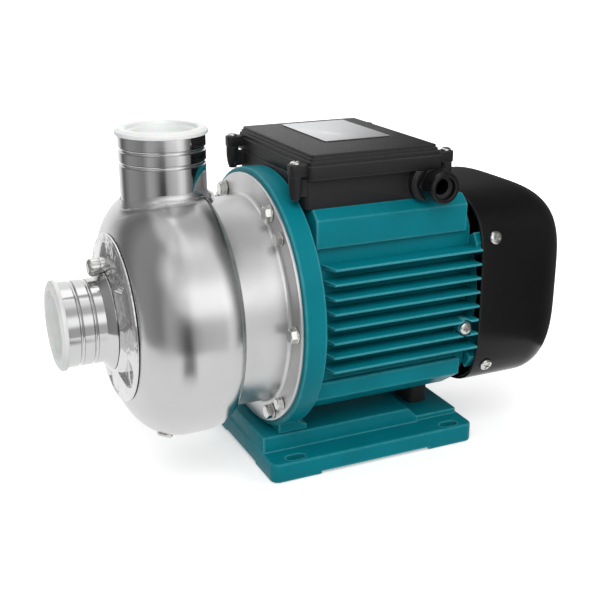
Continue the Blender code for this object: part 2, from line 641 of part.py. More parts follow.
def combine(target, other, operation):
    helper(other)
    modifier = target.modifiers.new(other.name, "BOOLEAN")
    modifier.operation = operation
    modifier.object = other


def cut(target, other):
    combine(target, other, "DIFFERENCE")


def join(target, other):
    combine(target, other, "UNION")


def round_point(radius, degrees):
    # (y, z) on a circle round the shaft, 0 at the far side and 90 at the top.
    angle = math.radians(degrees)
    return radius * math.cos(angle), radius * math.sin(angle)


# Wet end

def belly_profile(inset, steps):
    # The front corner of the belly from the front wall to the widest ring.
    return arc(BELLY_FRONT_X + BELLY_NOSE_AXIAL, BELLY_RADIUS - BELLY_NOSE_RADIAL,
               BELLY_NOSE_AXIAL - inset, BELLY_NOSE_RADIAL - inset, 180, 90, steps)


def rear_corner(inset, steps):
    # The rear corner of the belly, from the widest ring to the rear wall.
    radius = BELLY_REAR_FILLET - inset
    return arc(BELLY_REAR_X - BELLY_REAR_FILLET, BELLY_RADIUS - BELLY_REAR_FILLET,
               radius, radius, 90, 0, steps)


def belly_radius_at(x):
    start = BELLY_FRONT_X + BELLY_NOSE_AXIAL
    if x >= start:
        return BELLY_RADIUS
    share = (start - x) / BELLY_NOSE_AXIAL
    return BELLY_RADIUS - BELLY_NOSE_RADIAL * (1 - math.sqrt(1 - share * share))


def belly_slope_at(x):
    step = 0.0005
    return (belly_radius_at(x + step) - belly_radius_at(x - step)) / (2 * step)


def drain_frame():
    # Seat point and outward direction of the drain plug, in the shaft frame.
    radius = belly_radius_at(DRAIN_PLUG_X)
    tilt = math.atan(belly_slope_at(DRAIN_PLUG_X))
    y, z = round_point(1.0, DRAIN_PLUG_ANGLE)
    seat = Vector((DRAIN_PLUG_X, radius * y, radius * z))
    outward = Vector((-math.sin(tilt), math.cos(tilt) * y, math.cos(tilt) * z))
    return seat, outward


def flange_screw_places(count, first):
    return [round_point(FLANGE_SCREW_CIRCLE, first + 360.0 / count * k) for k in range(count)]


def make_casing(mats, axis):
    profile = [(BELLY_FRONT_X, EYE_RADIUS)]
    profile += belly_profile(0.0, NOSE_STEPS)
    profile += rear_corner(0.0, 2)
    profile += [(BELLY_REAR_X, BARREL_RADIUS)]
    profile += arc(-BARREL_FILLET, BARREL_RADIUS + BARREL_FILLET,
                   BARREL_FILLET, BARREL_FILLET, 270, 360, 1)
    profile += [(0.0, FLANGE_RADIUS), (FLANGE_REAR_X, FLANGE_RADIUS)]
    profile += [(FLANGE_REAR_X, BARREL_RADIUS - WALL)]
    profile += [(BELLY_REAR_X - WALL, BARREL_RADIUS - WALL)]
    profile += list(reversed(rear_corner(WALL, 1)))
    profile += list(reversed(belly_profile(WALL, NOSE_STEPS // 2)))
    profile += [(BELLY_FRONT_X + WALL, EYE_RADIUS)]
    casing = turned("pump_casing", profile, mats["steel"], axis, steps=STEPS_LARGE)

    bm = bmesh.new()
    add_cylinder(bm, DISCHARGE_THROAT_RADIUS, BARREL_RADIUS * 0.8, BELLY_RADIUS * 1.2,
                 (0, 0, 1), (DISCHARGE_X, 0, 0), STEPS_MEDIUM)
    seat, outward = drain_frame()
    add_cylinder(bm, DRAIN_PLUG_SHANK + HOLE, -4 * WALL, 2 * WALL, outward, seat, STEPS_TINY)
    add_cylinder(bm, FILL_PLUG_SHANK + HOLE, -2 * WALL, 3 * WALL, (1, 0, 0),
                 (BELLY_FRONT_X, 0, FILL_PLUG_OFFSET), STEPS_TINY)
    cut_flange_holes(bm, -WALL, 2 * WALL)
    cut(casing, finish("cut_casing", bm, None, axis))
    return casing


def cut_flange_holes(bm, start, end):
    for y, z in flange_screw_places(CASING_SCREWS, 0.0):
        add_cylinder(bm, CASING_SCREW_THREAD + HOLE, start, end, (1, 0, 0), (0, y, z), STEPS_TINY)
    for y, z in flange_screw_places(BRACKET_SCREWS, 45.0):
        add_cylinder(bm, BRACKET_SCREW_THREAD + HOLE, start, end, (1, 0, 0), (0, y, z), STEPS_TINY)


def pocket_outline(middle):
    # One pocket of the star plate, in (y, z), with rounded corners.
    half = math.radians(STAR_POCKET_ANGLE) / 2
    corner = math.radians(STAR_POCKET_ANGLE) / 7
    depth = STAR_POCKET_OUTER - STAR_POCKET_INNER
    points = []
    for radius, side, inset in ((STAR_POCKET_INNER, -1, 0.6), (STAR_POCKET_INNER, 1, 0.6),
                                (STAR_POCKET_OUTER, 1, 1.0), (STAR_POCKET_OUTER, -1, 1.0)):
        sign = 1 if radius == STAR_POCKET_INNER else -1
        edge = (radius + sign * depth * 0.22, side * half * inset)
        soft = (radius, side * (half * inset - corner))
        pair = [edge, soft] if (side < 0) == (sign > 0) else [soft, edge]
        points += pair
    outline = []
    for radius, angle in points:
        outline.append(round_point(radius, middle + math.degrees(angle)))
    return outline


def make_star_plate(mats, axis):
    rear = BELLY_FRONT_X - GAP
    front = rear - STAR_THICKNESS
    inner = SUCTION_NECK_RADIUS + GAP
    slope = STAR_HUB_RADIUS + 2 * STAR_HUB_RISE
    profile = [(rear, inner), (front - STAR_HUB_RISE, inner)]
    profile += [(front - STAR_HUB_RISE, STAR_HUB_RADIUS), (front, slope)]
    profile += [(front, STAR_RADIUS - STAR_THICKNESS * 0.6)]
    profile += [(front + STAR_THICKNESS * 0.4, STAR_RADIUS), (rear, STAR_RADIUS)]
    plate = turned("star_plate", profile, mats["steel"], axis, steps=STEPS_LARGE)
    bm = bmesh.new()
    for k in range(STAR_POCKETS):
        outline = pocket_outline(90.0 + 360.0 / STAR_POCKETS * k)
        add_prism(bm, outline, "X", front - STAR_THICKNESS, rear + STAR_THICKNESS / 2)
    cut(plate, finish("cut_star_pockets", bm, None, axis))
    bm = bmesh.new()
    add_cylinder(bm, FILL_PLUG_RADIUS + HOLE, -2 * STAR_THICKNESS - STAR_HUB_RISE, 1.0 * WALL,
                 (1, 0, 0), (rear, 0, FILL_PLUG_OFFSET), STEPS_SMALL)
    cut(plate, finish("cut_star_plug", bm, None, axis))
    return plate


def groove(along, outward):
    # A groove in the outside of a port, along its own axis towards the casing.
    half = PORT_GROOVE_WIDTH / 2
    floor = PORT_OUTER_RADIUS - PORT_GROOVE_DEPTH
    return [(along - outward * half, PORT_OUTER_RADIUS), (along, floor),
            (along + outward * half, PORT_OUTER_RADIUS)]


def make_suction_nozzle(mats, axis):
    rear = BELLY_FRONT_X - GAP
    profile = [(SUCTION_RIM_X, PORT_BORE_RADIUS), (SUCTION_RIM_X, PORT_OUTER_RADIUS)]
    profile += groove(SUCTION_CAP_FACE_X + PORT_GROOVE_1, 1)
    profile += groove(SUCTION_CAP_FACE_X + PORT_GROOVE_2, 1)
    profile += [(SUCTION_CONE_START_X, PORT_OUTER_RADIUS)]
    profile += [(SUCTION_CONE_END_X, SUCTION_CONE_RADIUS)]
    profile += [(SUCTION_CONE_END_X + GAP * 3, SUCTION_NECK_RADIUS)]
    profile += [(rear, SUCTION_NECK_RADIUS), (rear, EYE_RADIUS)]
    profile += [(SUCTION_CONE_END_X, EYE_RADIUS), (SUCTION_CONE_END_X, PORT_BORE_RADIUS)]
    nozzle = turned("suction_nozzle", profile, mats["steel"], axis)
    bm = bmesh.new()
    add_cylinder(bm, FILL_PLUG_RADIUS + HOLE, FILL_PLUG_FACE_X - BELLY_FRONT_X - WALL, WALL,
                 (1, 0, 0), (BELLY_FRONT_X, 0, FILL_PLUG_OFFSET), STEPS_SMALL)
    cut(nozzle, finish("cut_nozzle_plug", bm, None, axis))
    return nozzle


def make_discharge_nozzle(mats, origin):
    # Its local +X runs up. It is cut to the curve of the belly under it.
    low = SHAFT_HEIGHT + BELLY_RADIUS * 0.80
    top = DISCHARGE_CAP_FACE_Z
    profile = [(low, PORT_BORE_RADIUS), (low, PORT_OUTER_RADIUS)]
    profile += groove(top - PORT_GROOVE_2, 1)
    profile += groove(top - PORT_GROOVE_1, 1)
    profile += [(DISCHARGE_RIM_Z, PORT_OUTER_RADIUS), (DISCHARGE_RIM_Z, PORT_BORE_RADIUS)]
    nozzle = turned("discharge_nozzle", profile, mats["steel"], origin,
                    location=(DISCHARGE_X, 0, 0), rotation=(0, -math.pi / 2, 0))
    shell = [(BELLY_FRONT_X - GAP, 0.0)]
    shell += arc(BELLY_FRONT_X + BELLY_NOSE_AXIAL, BELLY_RADIUS - BELLY_NOSE_RADIAL,
                 BELLY_NOSE_AXIAL + GAP, BELLY_NOSE_RADIAL + GAP, 180, 90, NOSE_STEPS)
    radius = BELLY_REAR_FILLET + GAP
    shell += arc(BELLY_REAR_X - BELLY_REAR_FILLET, BELLY_RADIUS - BELLY_REAR_FILLET,
                 radius, radius, 90, 45, 1)
    last = shell[-1][1]
    shell += [(BELLY_REAR_X + PORT_OUTER_RADIUS, last), (BELLY_REAR_X + PORT_OUTER_RADIUS, 0.0)]
    cutter = turned("cut_discharge_seat", shell, None, origin,
                    location=(0, 0, SHAFT_HEIGHT), steps=STEPS_LARGE)
    cut(nozzle, cutter)
    return nozzle


def cap_profile():
    # A thread protector: rim, dished middle and a plug inside the port.
    # X = 0 is its outer face and +X goes into the port.
    plug = PORT_BORE_RADIUS - GAP
    dish = plug - CAP_WALL
    deep = CAP_RIM + CAP_PLUG_DEPTH
    profile = [(CAP_DISH_DEPTH, 0.0), (CAP_DISH_DEPTH, dish - CAP_WALL)]
    profile += [(0.0, dish), (0.0, CAP_RADIUS - CAP_WALL / 2), (CAP_WALL / 2, CAP_RADIUS)]
    profile += [(CAP_RIM, CAP_RADIUS), (CAP_RIM, plug), (deep, plug)]
    profile += [(deep, dish), (CAP_DISH_DEPTH + CAP_WALL, dish)]
    profile += [(CAP_DISH_DEPTH + CAP_WALL, 0.0)]
    return profile


def make_caps(mats, axis, origin):
    turned("suction_cap", cap_profile(), mats["white"], axis,
           location=(SUCTION_CAP_FACE_X, 0, 0))
    turned("discharge_cap", cap_profile(), mats["white"], origin,
           location=(DISCHARGE_X, 0, DISCHARGE_CAP_FACE_Z), rotation=(0, math.pi / 2, 0))


def make_plugs(mats, axis):
    seat = BELLY_FRONT_X - GAP
    edge = FILL_PLUG_RADIUS * 0.25
    profile = [(FILL_PLUG_FACE_X, 0.0), (FILL_PLUG_FACE_X, FILL_PLUG_RADIUS - edge)]
    profile += [(FILL_PLUG_FACE_X + edge, FILL_PLUG_RADIUS), (seat, FILL_PLUG_RADIUS)]
    profile += [(seat, FILL_PLUG_SHANK), (BELLY_FRONT_X + 2 * WALL, FILL_PLUG_SHANK)]
    profile += [(BELLY_FRONT_X + 2 * WALL, 0.0)]
    plug = turned("filling_plug", profile, mats["zinc"], axis,
                  location=(0, 0, FILL_PLUG_OFFSET), steps=STEPS_SMALL)
    socket = prism("cut_plug_socket", hexagon(FILL_PLUG_RADIUS * 0.85), "X",
                   FILL_PLUG_FACE_X - WALL, FILL_PLUG_FACE_X + 2 * WALL, None, axis,
                   location=(0, 0, FILL_PLUG_OFFSET))
    cut(plug, socket)

    seat_point, outward = drain_frame()
    turn = Vector((1, 0, 0)).rotation_difference(outward).to_euler()
    profile = [(-2 * WALL, 0.0), (-2 * WALL, DRAIN_PLUG_SHANK), (GAP, DRAIN_PLUG_SHANK)]
    profile += [(GAP, DRAIN_PLUG_RADIUS), (DRAIN_PLUG_HEAD - edge / 2, DRAIN_PLUG_RADIUS)]
    profile += [(DRAIN_PLUG_HEAD, DRAIN_PLUG_RADIUS - edge / 2), (DRAIN_PLUG_HEAD, 0.0)]
    turned("drain_plug", profile, mats["zinc"], axis, location=seat_point, rotation=turn,
           steps=STEPS_SMALL)


def make_seal_plate(mats, axis):
    front = SEAL_CUP_FACE_X
    fillet = SEAL_CUP_FILLET
    centre_x = front + fillet
    centre_r = SEAL_CUP_RADIUS - fillet
    profile = [(front, SEAL_SEAT_BORE)]
    profile += arc(centre_x, centre_r, fillet, fillet, 180, 90, 2)
    profile += [(BRACKET_FRONT_X, SEAL_CUP_RADIUS), (BRACKET_FRONT_X, SEAL_PLATE_RADIUS)]
    profile += [(SEAL_FLANGE_REAR_X, SEAL_PLATE_RADIUS)]
    profile += [(SEAL_FLANGE_REAR_X, SEAL_CUP_RADIUS - WALL)]
    profile += arc(centre_x, centre_r, fillet - WALL, fillet - WALL, 90, 180, 2)
    profile += [(front + WALL, SEAL_SEAT_BORE)]
    turned("seal_plate", profile, mats["steel"], axis, steps=STEPS_MEDIUM)

    room = BARREL_RADIUS - WALL - SEAL_CUP_RADIUS
    thick = room / 2 - HOLE
    centre = BRACKET_FRONT_X - GAP - thick
    ring = arc(centre, SEAL_CUP_RADIUS + room / 2, thick, thick, 0, 300, 5)
    turned("casing_o_ring", ring, mats["rubber"], axis, steps=STEPS_MEDIUM)


def make_seal(mats, axis, rotor):
    hole = SHAFT_WET_RADIUS + RUN
    lip_rear = SEAL_CUP_FACE_X - GAP
    profile = [(SEAL_SEAT_FRONT_X, hole), (SEAL_SEAT_FRONT_X, SEAL_SEAT_LIP)]
    profile += [(lip_rear, SEAL_SEAT_LIP), (lip_rear, SEAL_SEAT_BORE - GAP)]
    profile += [(SEAL_SEAT_REAR_X, SEAL_SEAT_BORE - GAP), (SEAL_SEAT_REAR_X, hole)]
    turned("seal_seat", profile, mats["ceramic"], axis, steps=STEPS_SMALL)

    bore = SHAFT_WET_RADIUS + GAP
    front = SEAL_SEAT_FRONT_X - GAP - SEAL_HEAD_LENGTH
    rear = SEAL_SEAT_FRONT_X - GAP
    nose = SEAL_HEAD_RADIUS * 0.82
    profile = [(front, bore), (front, SEAL_HEAD_RADIUS)]
    profile += [(rear - SEAL_HEAD_LENGTH * 0.3, SEAL_HEAD_RADIUS)]
    profile += [(rear - SEAL_HEAD_LENGTH * 0.3, nose), (rear, nose), (rear, bore)]
    turned("seal_head", profile, mats["carbon"], rotor, steps=STEPS_SMALL)

    start = IMPELLER_HUB_REAR_X + GAP + SPRING_WIRE
    end = front - GAP - SPRING_WIRE
    radius = SHAFT_WET_RADIUS + 3 * GAP + SPRING_WIRE
    curve = bpy.data.curves.new("seal_spring", "CURVE")
    curve.dimensions = "3D"
    curve.bevel_depth = SPRING_WIRE
    curve.bevel_resolution = 0
    curve.render_resolution_u = 0
    curve.use_fill_caps = True
    spline = curve.splines.new("POLY")
    count = int(10 * SPRING_TURNS)
    spline.points.add(count)
    for index in range(count + 1):
        share = index / count
        angle = 2 * math.pi * SPRING_TURNS * share
        x = start + (end - start) * share
        spline.points[index].co = (x, radius * math.cos(angle), radius * math.sin(angle), 1.0)
    spring = bpy.data.objects.new("seal_spring", curve)
    curve.materials.append(mats["steel"])
    bpy.context.scene.collection.objects.link(spring)
    spring.parent = rotor


# Rotor

def make_shaft(mats, rotor):
    front_seat_end = FRONT_BEARING_X + FRONT_BEARING_WIDTH
    clip_x = FAN_START_X + FAN_DEPTH + GAP
    profile = [(SHAFT_TIP_X, 0.0), (SHAFT_TIP_X, SHAFT_THREAD_RADIUS)]
    profile += [(IMPELLER_HUB_FRONT_X, SHAFT_THREAD_RADIUS)]
    profile += [(IMPELLER_HUB_FRONT_X, SHAFT_IMPELLER_RADIUS)]
    profile += [(IMPELLER_HUB_REAR_X + GAP, SHAFT_IMPELLER_RADIUS)]
    profile += [(IMPELLER_HUB_REAR_X + GAP, SHAFT_WET_RADIUS)]
    profile += [(FRONT_BEARING_X - RUN, SHAFT_WET_RADIUS)]
    profile += [(FRONT_BEARING_X - RUN, FRONT_BEARING_BORE - GAP)]
    profile += [(front_seat_end + GAP, FRONT_BEARING_BORE - GAP)]
    profile += [(front_seat_end + GAP, SHAFT_CORE_RADIUS)]
    profile += [(REAR_BEARING_X - GAP, SHAFT_CORE_RADIUS)]
    profile += [(REAR_BEARING_X - GAP, REAR_BEARING_BORE - GAP)]
    profile += [(REAR_BEARING_X + REAR_BEARING_WIDTH + RUN, REAR_BEARING_BORE - GAP)]
    profile += [(REAR_BEARING_X + REAR_BEARING_WIDTH + RUN, SHAFT_FAN_RADIUS)]
    profile += [(clip_x, SHAFT_FAN_RADIUS), (clip_x, SHAFT_FAN_RADIUS - CLIP_GROOVE)]
    profile += [(clip_x + CLIP_WIDTH + 2 * GAP, SHAFT_FAN_RADIUS - CLIP_GROOVE)]
    profile += [(clip_x + CLIP_WIDTH + 2 * GAP, SHAFT_FAN_RADIUS)]
    profile += [(SHAFT_END_X, SHAFT_FAN_RADIUS), (SHAFT_END_X, 0.0)]
    turned("shaft", profile, mats["zinc"], rotor, steps=STEPS_SMALL)

    bore = SHAFT_CORE_RADIUS + GAP
    ring = ROTOR_RADIUS - ROTOR_RING_DROP
    ledge = ROTOR_RING
    profile = [(ROTOR_START_X - ledge, ring - ledge), (ROTOR_START_X - ledge, ring)]
    profile += [(ROTOR_START_X, ring), (ROTOR_START_X, ROTOR_RADIUS)]
    profile += [(ROTOR_END_X, ROTOR_RADIUS), (ROTOR_END_X, ring)]
    profile += [(ROTOR_END_X + ledge, ring), (ROTOR_END_X + ledge, ring - ledge)]
    profile += [(ROTOR_END_X, ring - ledge), (ROTOR_END_X, bore)]
    profile += [(ROTOR_START_X, bore), (ROTOR_START_X, ring - ledge)]
    turned("rotor_core", profile, mats["iron"], rotor, steps=STEPS_SMALL + 6)

    profile = [(clip_x + GAP, SHAFT_FAN_RADIUS - CLIP_GROOVE + GAP)]
    profile += [(clip_x + GAP, CLIP_RADIUS), (clip_x + GAP + CLIP_WIDTH, CLIP_RADIUS)]
    profile += [(clip_x + GAP + CLIP_WIDTH, SHAFT_FAN_RADIUS - CLIP_GROOVE + GAP)]
    turned("fan_clip", profile, mats["zinc"], rotor, steps=STEPS_SMALL)


def blade_outline(phase):
    # A backward swept blade in (y, z), of constant thickness, along a spiral.
    outer_side = []
    inner_side = []
    count = 4
    start = IMPELLER_BLADE_INNER
    growth = math.log((IMPELLER_RADIUS - GAP) / start)
    sweep = math.radians(IMPELLER_BLADE_SWEEP)
    for step in range(count + 1):
        share = step / count
        radius = start * math.exp(growth * share)
        angle = math.radians(phase) - sweep * share
        slope = math.atan2(sweep, growth)
        normal = angle - slope + math.pi / 2
        half = IMPELLER_BLADE_THICKNESS / 2
        y, z = radius * math.cos(angle), radius * math.sin(angle)
        outer_side.append((y + half * math.cos(normal), z + half * math.sin(normal)))
        inner_side.append((y - half * math.cos(normal), z - half * math.sin(normal)))
    return outer_side + list(reversed(inner_side))


def make_impeller(mats, rotor):
    disc_rear = IMPELLER_DISC_FRONT_X + IMPELLER_DISC
    bore = SHAFT_IMPELLER_RADIUS + GAP
    profile = [(IMPELLER_HUB_FRONT_X, bore), (IMPELLER_HUB_FRONT_X, IMPELLER_HUB_RADIUS * 0.8)]
    profile += [(IMPELLER_DISC_FRONT_X - IMPELLER_DISC, IMPELLER_HUB_RADIUS)]
    profile += [(IMPELLER_DISC_FRONT_X, IMPELLER_HUB_RADIUS + IMPELLER_DISC)]
    profile += [(IMPELLER_DISC_FRONT_X, IMPELLER_RADIUS), (disc_rear, IMPELLER_RADIUS)]
    profile += [(disc_rear, IMPELLER_HUB_RADIUS), (IMPELLER_HUB_REAR_X, IMPELLER_HUB_RADIUS)]
    profile += [(IMPELLER_HUB_REAR_X, bore)]
    impeller = turned("impeller", profile, mats["steel"], rotor, steps=STEPS_MEDIUM)
    bm = bmesh.new()
    for k in range(IMPELLER_BLADES):
        outline = blade_outline(360.0 / IMPELLER_BLADES * k)
        add_prism(bm, outline, "X", IMPELLER_BLADE_FRONT_X,
                  IMPELLER_DISC_FRONT_X + IMPELLER_DISC / 2)
    join(impeller, finish("add_impeller_blades", bm, None, rotor))

    rear = IMPELLER_HUB_FRONT_X - GAP
    nut = prism("impeller_nut", hexagon(IMPELLER_NUT_FLATS), "X",
                rear - IMPELLER_NUT_LENGTH, rear, mats["zinc"], rotor)
    bm = bmesh.new()
    add_cylinder(bm, SHAFT_THREAD_RADIUS + HOLE, -2 * IMPELLER_NUT_LENGTH, IMPELLER_NUT_LENGTH,
                 (1, 0, 0), (rear, 0, 0), STEPS_TINY)
    cut(nut, finish("cut_impeller_nut", bm, None, rotor))


def make_fan(mats, rotor):
    bore = SHAFT_FAN_RADIUS + GAP
    end = FAN_START_X + FAN_DEPTH
    profile = [(FAN_START_X, bore), (FAN_START_X, FAN_RADIUS * 0.88)]
    profile += [(FAN_START_X + FAN_DISC, FAN_RADIUS * 0.88)]
    profile += [(FAN_START_X + FAN_DISC, FAN_HUB_RADIUS), (end, FAN_HUB_RADIUS), (end, bore)]
    fan = turned("fan", profile, mats["black"], rotor, steps=STEPS_MEDIUM)
    bm = bmesh.new()
    for k in range(FAN_BLADES):
        turn = Matrix.Rotation(2 * math.pi * k / FAN_BLADES, 4, "X")
        outline = [(FAN_START_X + FAN_DISC / 2, FAN_HUB_RADIUS - FAN_BLADE)]
        outline += [(FAN_START_X + FAN_DISC / 2, FAN_RADIUS)]
        outline += [(end - FAN_DEPTH * 0.10, FAN_RADIUS)]
        outline += [(end - FAN_DEPTH * 0.25, FAN_HUB_RADIUS - FAN_BLADE)]
        made = add_prism(bm, outline, "Y", -FAN_BLADE / 2, FAN_BLADE / 2)
        bmesh.ops.transform(bm, matrix=turn, verts=made)
    join(fan, finish("add_fan_blades", bm, None, rotor))


def make_bearing(name, x, width, bore, outer, mats, axis, rotor):
    # Two races with a free ring between them. The balls are left out of the solids.
    middle = (bore + outer) / 2
    inner_edge = middle - BEARING_SPLIT / 2
    outer_edge = middle + BEARING_SPLIT / 2
    inner = [(x, bore), (x, inner_edge), (x + width, inner_edge), (x + width, bore)]
    ring = [(x, outer_edge), (x, outer), (x + width, outer), (x + width, outer_edge)]
    turned(name + "_inner", inner, mats["zinc"], rotor, steps=STEPS_SMALL)
    turned(name + "_outer", ring, mats["zinc"], axis, steps=STEPS_SMALL + 6)


# Fixed motor parts

def make_bracket(mats, axis):
    recess = SEAL_PLATE_RADIUS + HOLE + GAP
    recess_x = SEAL_FLANGE_REAR_X + GAP
    spigot = HOUSING_BORE - GAP
    web_rear = recess_x + BRACKET_WEB
    bearing_end = FRONT_BEARING_X + FRONT_BEARING_WIDTH
    seat = FRONT_BEARING_OUTER + GAP
    hole = SHAFT_WET_RADIUS + 4 * RUN
    profile = [(recess_x, hole), (recess_x, recess)]
    profile += [(BRACKET_FRONT_X, recess), (BRACKET_FRONT_X, BRACKET_RADIUS - BRACKET_EDGE)]
    profile += [(BRACKET_FRONT_X + BRACKET_EDGE, BRACKET_RADIUS)]
    profile += [(BRACKET_REAR_X - BRACKET_EDGE, BRACKET_RADIUS)]
    profile += [(BRACKET_REAR_X, BRACKET_RADIUS - BRACKET_EDGE), (BRACKET_REAR_X, spigot)]
    profile += [(BRACKET_REAR_X + SPIGOT_LENGTH, spigot)]
    profile += [(BRACKET_REAR_X + SPIGOT_LENGTH, spigot - SPIGOT_WALL)]
    profile += [(web_rear, spigot - SPIGOT_WALL), (web_rear, BRACKET_HUB_RADIUS)]
    profile += [(bearing_end, BRACKET_HUB_RADIUS), (bearing_end, seat)]
    profile += [(FRONT_BEARING_X - GAP, seat), (FRONT_BEARING_X - GAP, hole)]
    bracket = turned("motor_bracket", profile, mats["paint"], axis, steps=STEPS_LARGE)

    # The neck under the housing runs into the disc in a hollow fillet.
    foot = FOOT_DECK_Z + GAP - SHAFT_HEIGHT
    top = HOUSING_BELOW_Z + SHOULDER_INSET
    neck_front = recess_x + GAP
    sole = foot + min(NECK_SOLE, (top - foot) / 3)
    outline = [(neck_front, foot), (NECK_REAR_X, foot)]
    outline += arc(NECK_REAR_X, top, NECK_REAR_X - BRACKET_REAR_X, top - sole, 270, 180, 3)
    outline += [(BRACKET_REAR_X - BRACKET_EDGE, top), (neck_front, top)]
    neck = prism("add_neck", outline, "Y", -NECK_HALF_WIDTH, NECK_HALF_WIDTH, None, axis)
    join(bracket, neck)

    # The disc ends in a flat where it stands on the foot.
    under = prism("cut_bracket_flat", rectangle(2 * BRACKET_RADIUS, 2 * BRACKET_RADIUS), "Z",
                  foot - BRACKET_RADIUS, foot, None, axis)
    cut(bracket, under)
    bm = bmesh.new()
    end = BRACKET_FRONT_X + FLANGE_SCREW_DEPTH
    cut_flange_holes(bm, -WALL, end)
    depth = FOOT_POCKET_Z + FOOT_SCREW_GRIP - SHAFT_HEIGHT
    for side in (-1, 1):
        add_cylinder(bm, FOOT_SCREW_THREAD + HOLE, foot - WALL, depth + WALL, (0, 0, 1),
                     (FOOT_SCREW_X, side * FOOT_SCREW_Y, 0), STEPS_TINY)
    cut(bracket, finish("cut_bracket_holes", bm, None, axis))
    return bracket


def make_foot(mats, origin):
    length = FOOT_REAR_X - FOOT_FRONT_X
    middle = (FOOT_FRONT_X + FOOT_REAR_X) / 2
    bm = bmesh.new()
    outline = rectangle(length, 2 * FOOT_HALF_WIDTH, FOOT_CORNER, 2, (middle, 0.0))
    add_prism(bm, outline, "Z", 0.0, FOOT_PLATE)
    rim = [edge for edge in bm.edges
           if all(abs(v.co.z - FOOT_PLATE) < 1e-6 for v in edge.verts)]
    bmesh.ops.bevel(bm, geom=rim, offset=FOOT_EDGE, segments=1, affect="EDGES")
    foot = finish("cast_foot", bm, mats["paint"], origin)

    sink = FOOT_PLATE / 2
    step = prism("add_foot_step", rectangle(FOOT_REAR_X - FOOT_DECK_END_X - 2 * FOOT_EDGE,
                                            2 * FOOT_STEP_HALF_WIDTH, 0.0, 1,
                                            ((FOOT_REAR_X + FOOT_DECK_END_X) / 2, 0.0)),
                 "Z", sink, FOOT_STEP_Z, None, origin)
    join(foot, step)
    outline = [(FOOT_FRONT_X + FOOT_EDGE, sink), (FOOT_DECK_END_X + FOOT_DECK_SLOPE, sink)]
    outline += [(FOOT_DECK_END_X + FOOT_DECK_SLOPE, FOOT_STEP_Z)]
    outline += [(FOOT_DECK_END_X, FOOT_DECK_Z), (FOOT_FRONT_X + FOOT_EDGE, FOOT_DECK_Z)]
    bm = bmesh.new()
    add_prism(bm, outline, "Y", -FOOT_DECK_HALF_WIDTH, FOOT_DECK_HALF_WIDTH)
    for vert in bm.verts:
        if vert.co.z > FOOT_DECK_Z - 1e-6:
            vert.co.y -= math.copysign(FOOT_DECK_DRAFT, vert.co.y)
    join(foot, finish("add_foot_deck", bm, None, origin))

    bm = bmesh.new()
    reach = 2 * FOOT_HALF_WIDTH
    gap_x = length - 2 * PAD_LENGTH
    add_prism(bm, rectangle(gap_x, reach * 1.2, 0.0, 1, (middle, 0.0)), "Z",
              -PAD_HEIGHT, PAD_HEIGHT)
    cut(foot, finish("cut_between_pads_x", bm, None, origin))
    bm = bmesh.new()
    gap_y = reach - 2 * PAD_WIDTH
    add_prism(bm, rectangle(length * 1.2, gap_y, 0.0, 1, (middle, 0.0)), "Z",
              -PAD_HEIGHT, PAD_HEIGHT)
    cut(foot, finish("cut_between_pads_y", bm, None, origin))

    bm = bmesh.new()
    pocket = rectangle(FOOT_POCKET_END_X - FOOT_POCKET_START_X, 2 * FOOT_POCKET_HALF_WIDTH,
                       FOOT_CORNER, 1, ((FOOT_POCKET_END_X + FOOT_POCKET_START_X) / 2, 0.0))
    add_prism(bm, pocket, "Z", -PAD_HEIGHT, FOOT_POCKET_Z)
    cut(foot, finish("cut_foot_pocket", bm, None, origin))
    bm = bmesh.new()
    for x in (SLOT_FRONT_X, SLOT_REAR_X):
        for side in (-1, 1):
            centre = (x, side * (FOOT_HALF_WIDTH - SLOT_EDGE_Y))
            add_prism(bm, stadium(SLOT_LENGTH, SLOT_WIDTH, 2, centre), "Z",
                      -PAD_HEIGHT, FOOT_DECK_Z)
    for side in (-1, 1):
        add_cylinder(bm, FOOT_SCREW_THREAD + HOLE, 0.0, 2 * FOOT_DECK_Z, (0, 0, 1),
                     (FOOT_SCREW_X, side * FOOT_SCREW_Y, 0), STEPS_TINY)
    cut(foot, finish("cut_foot_slots", bm, None, origin))

    start = SUPPORT_START_X
    top = HOUSING_UNDERSIDE - GAP
    block = prism("rear_support",
                  rectangle(SUPPORT_LENGTH, 2 * SUPPORT_HALF_WIDTH, SUPPORT_CORNER, 3,
                            (start + SUPPORT_LENGTH / 2, 0.0)),
                  "Z", FOOT_STEP_Z + GAP, top, mats["rubber"], origin)
    return foot, block


def mirrored_outline(half):
    # The near half of a section, top to bottom at negative y, is closed by its mirror.
    other = [(-y, z) for y, z in reversed(half)]
    return half + other


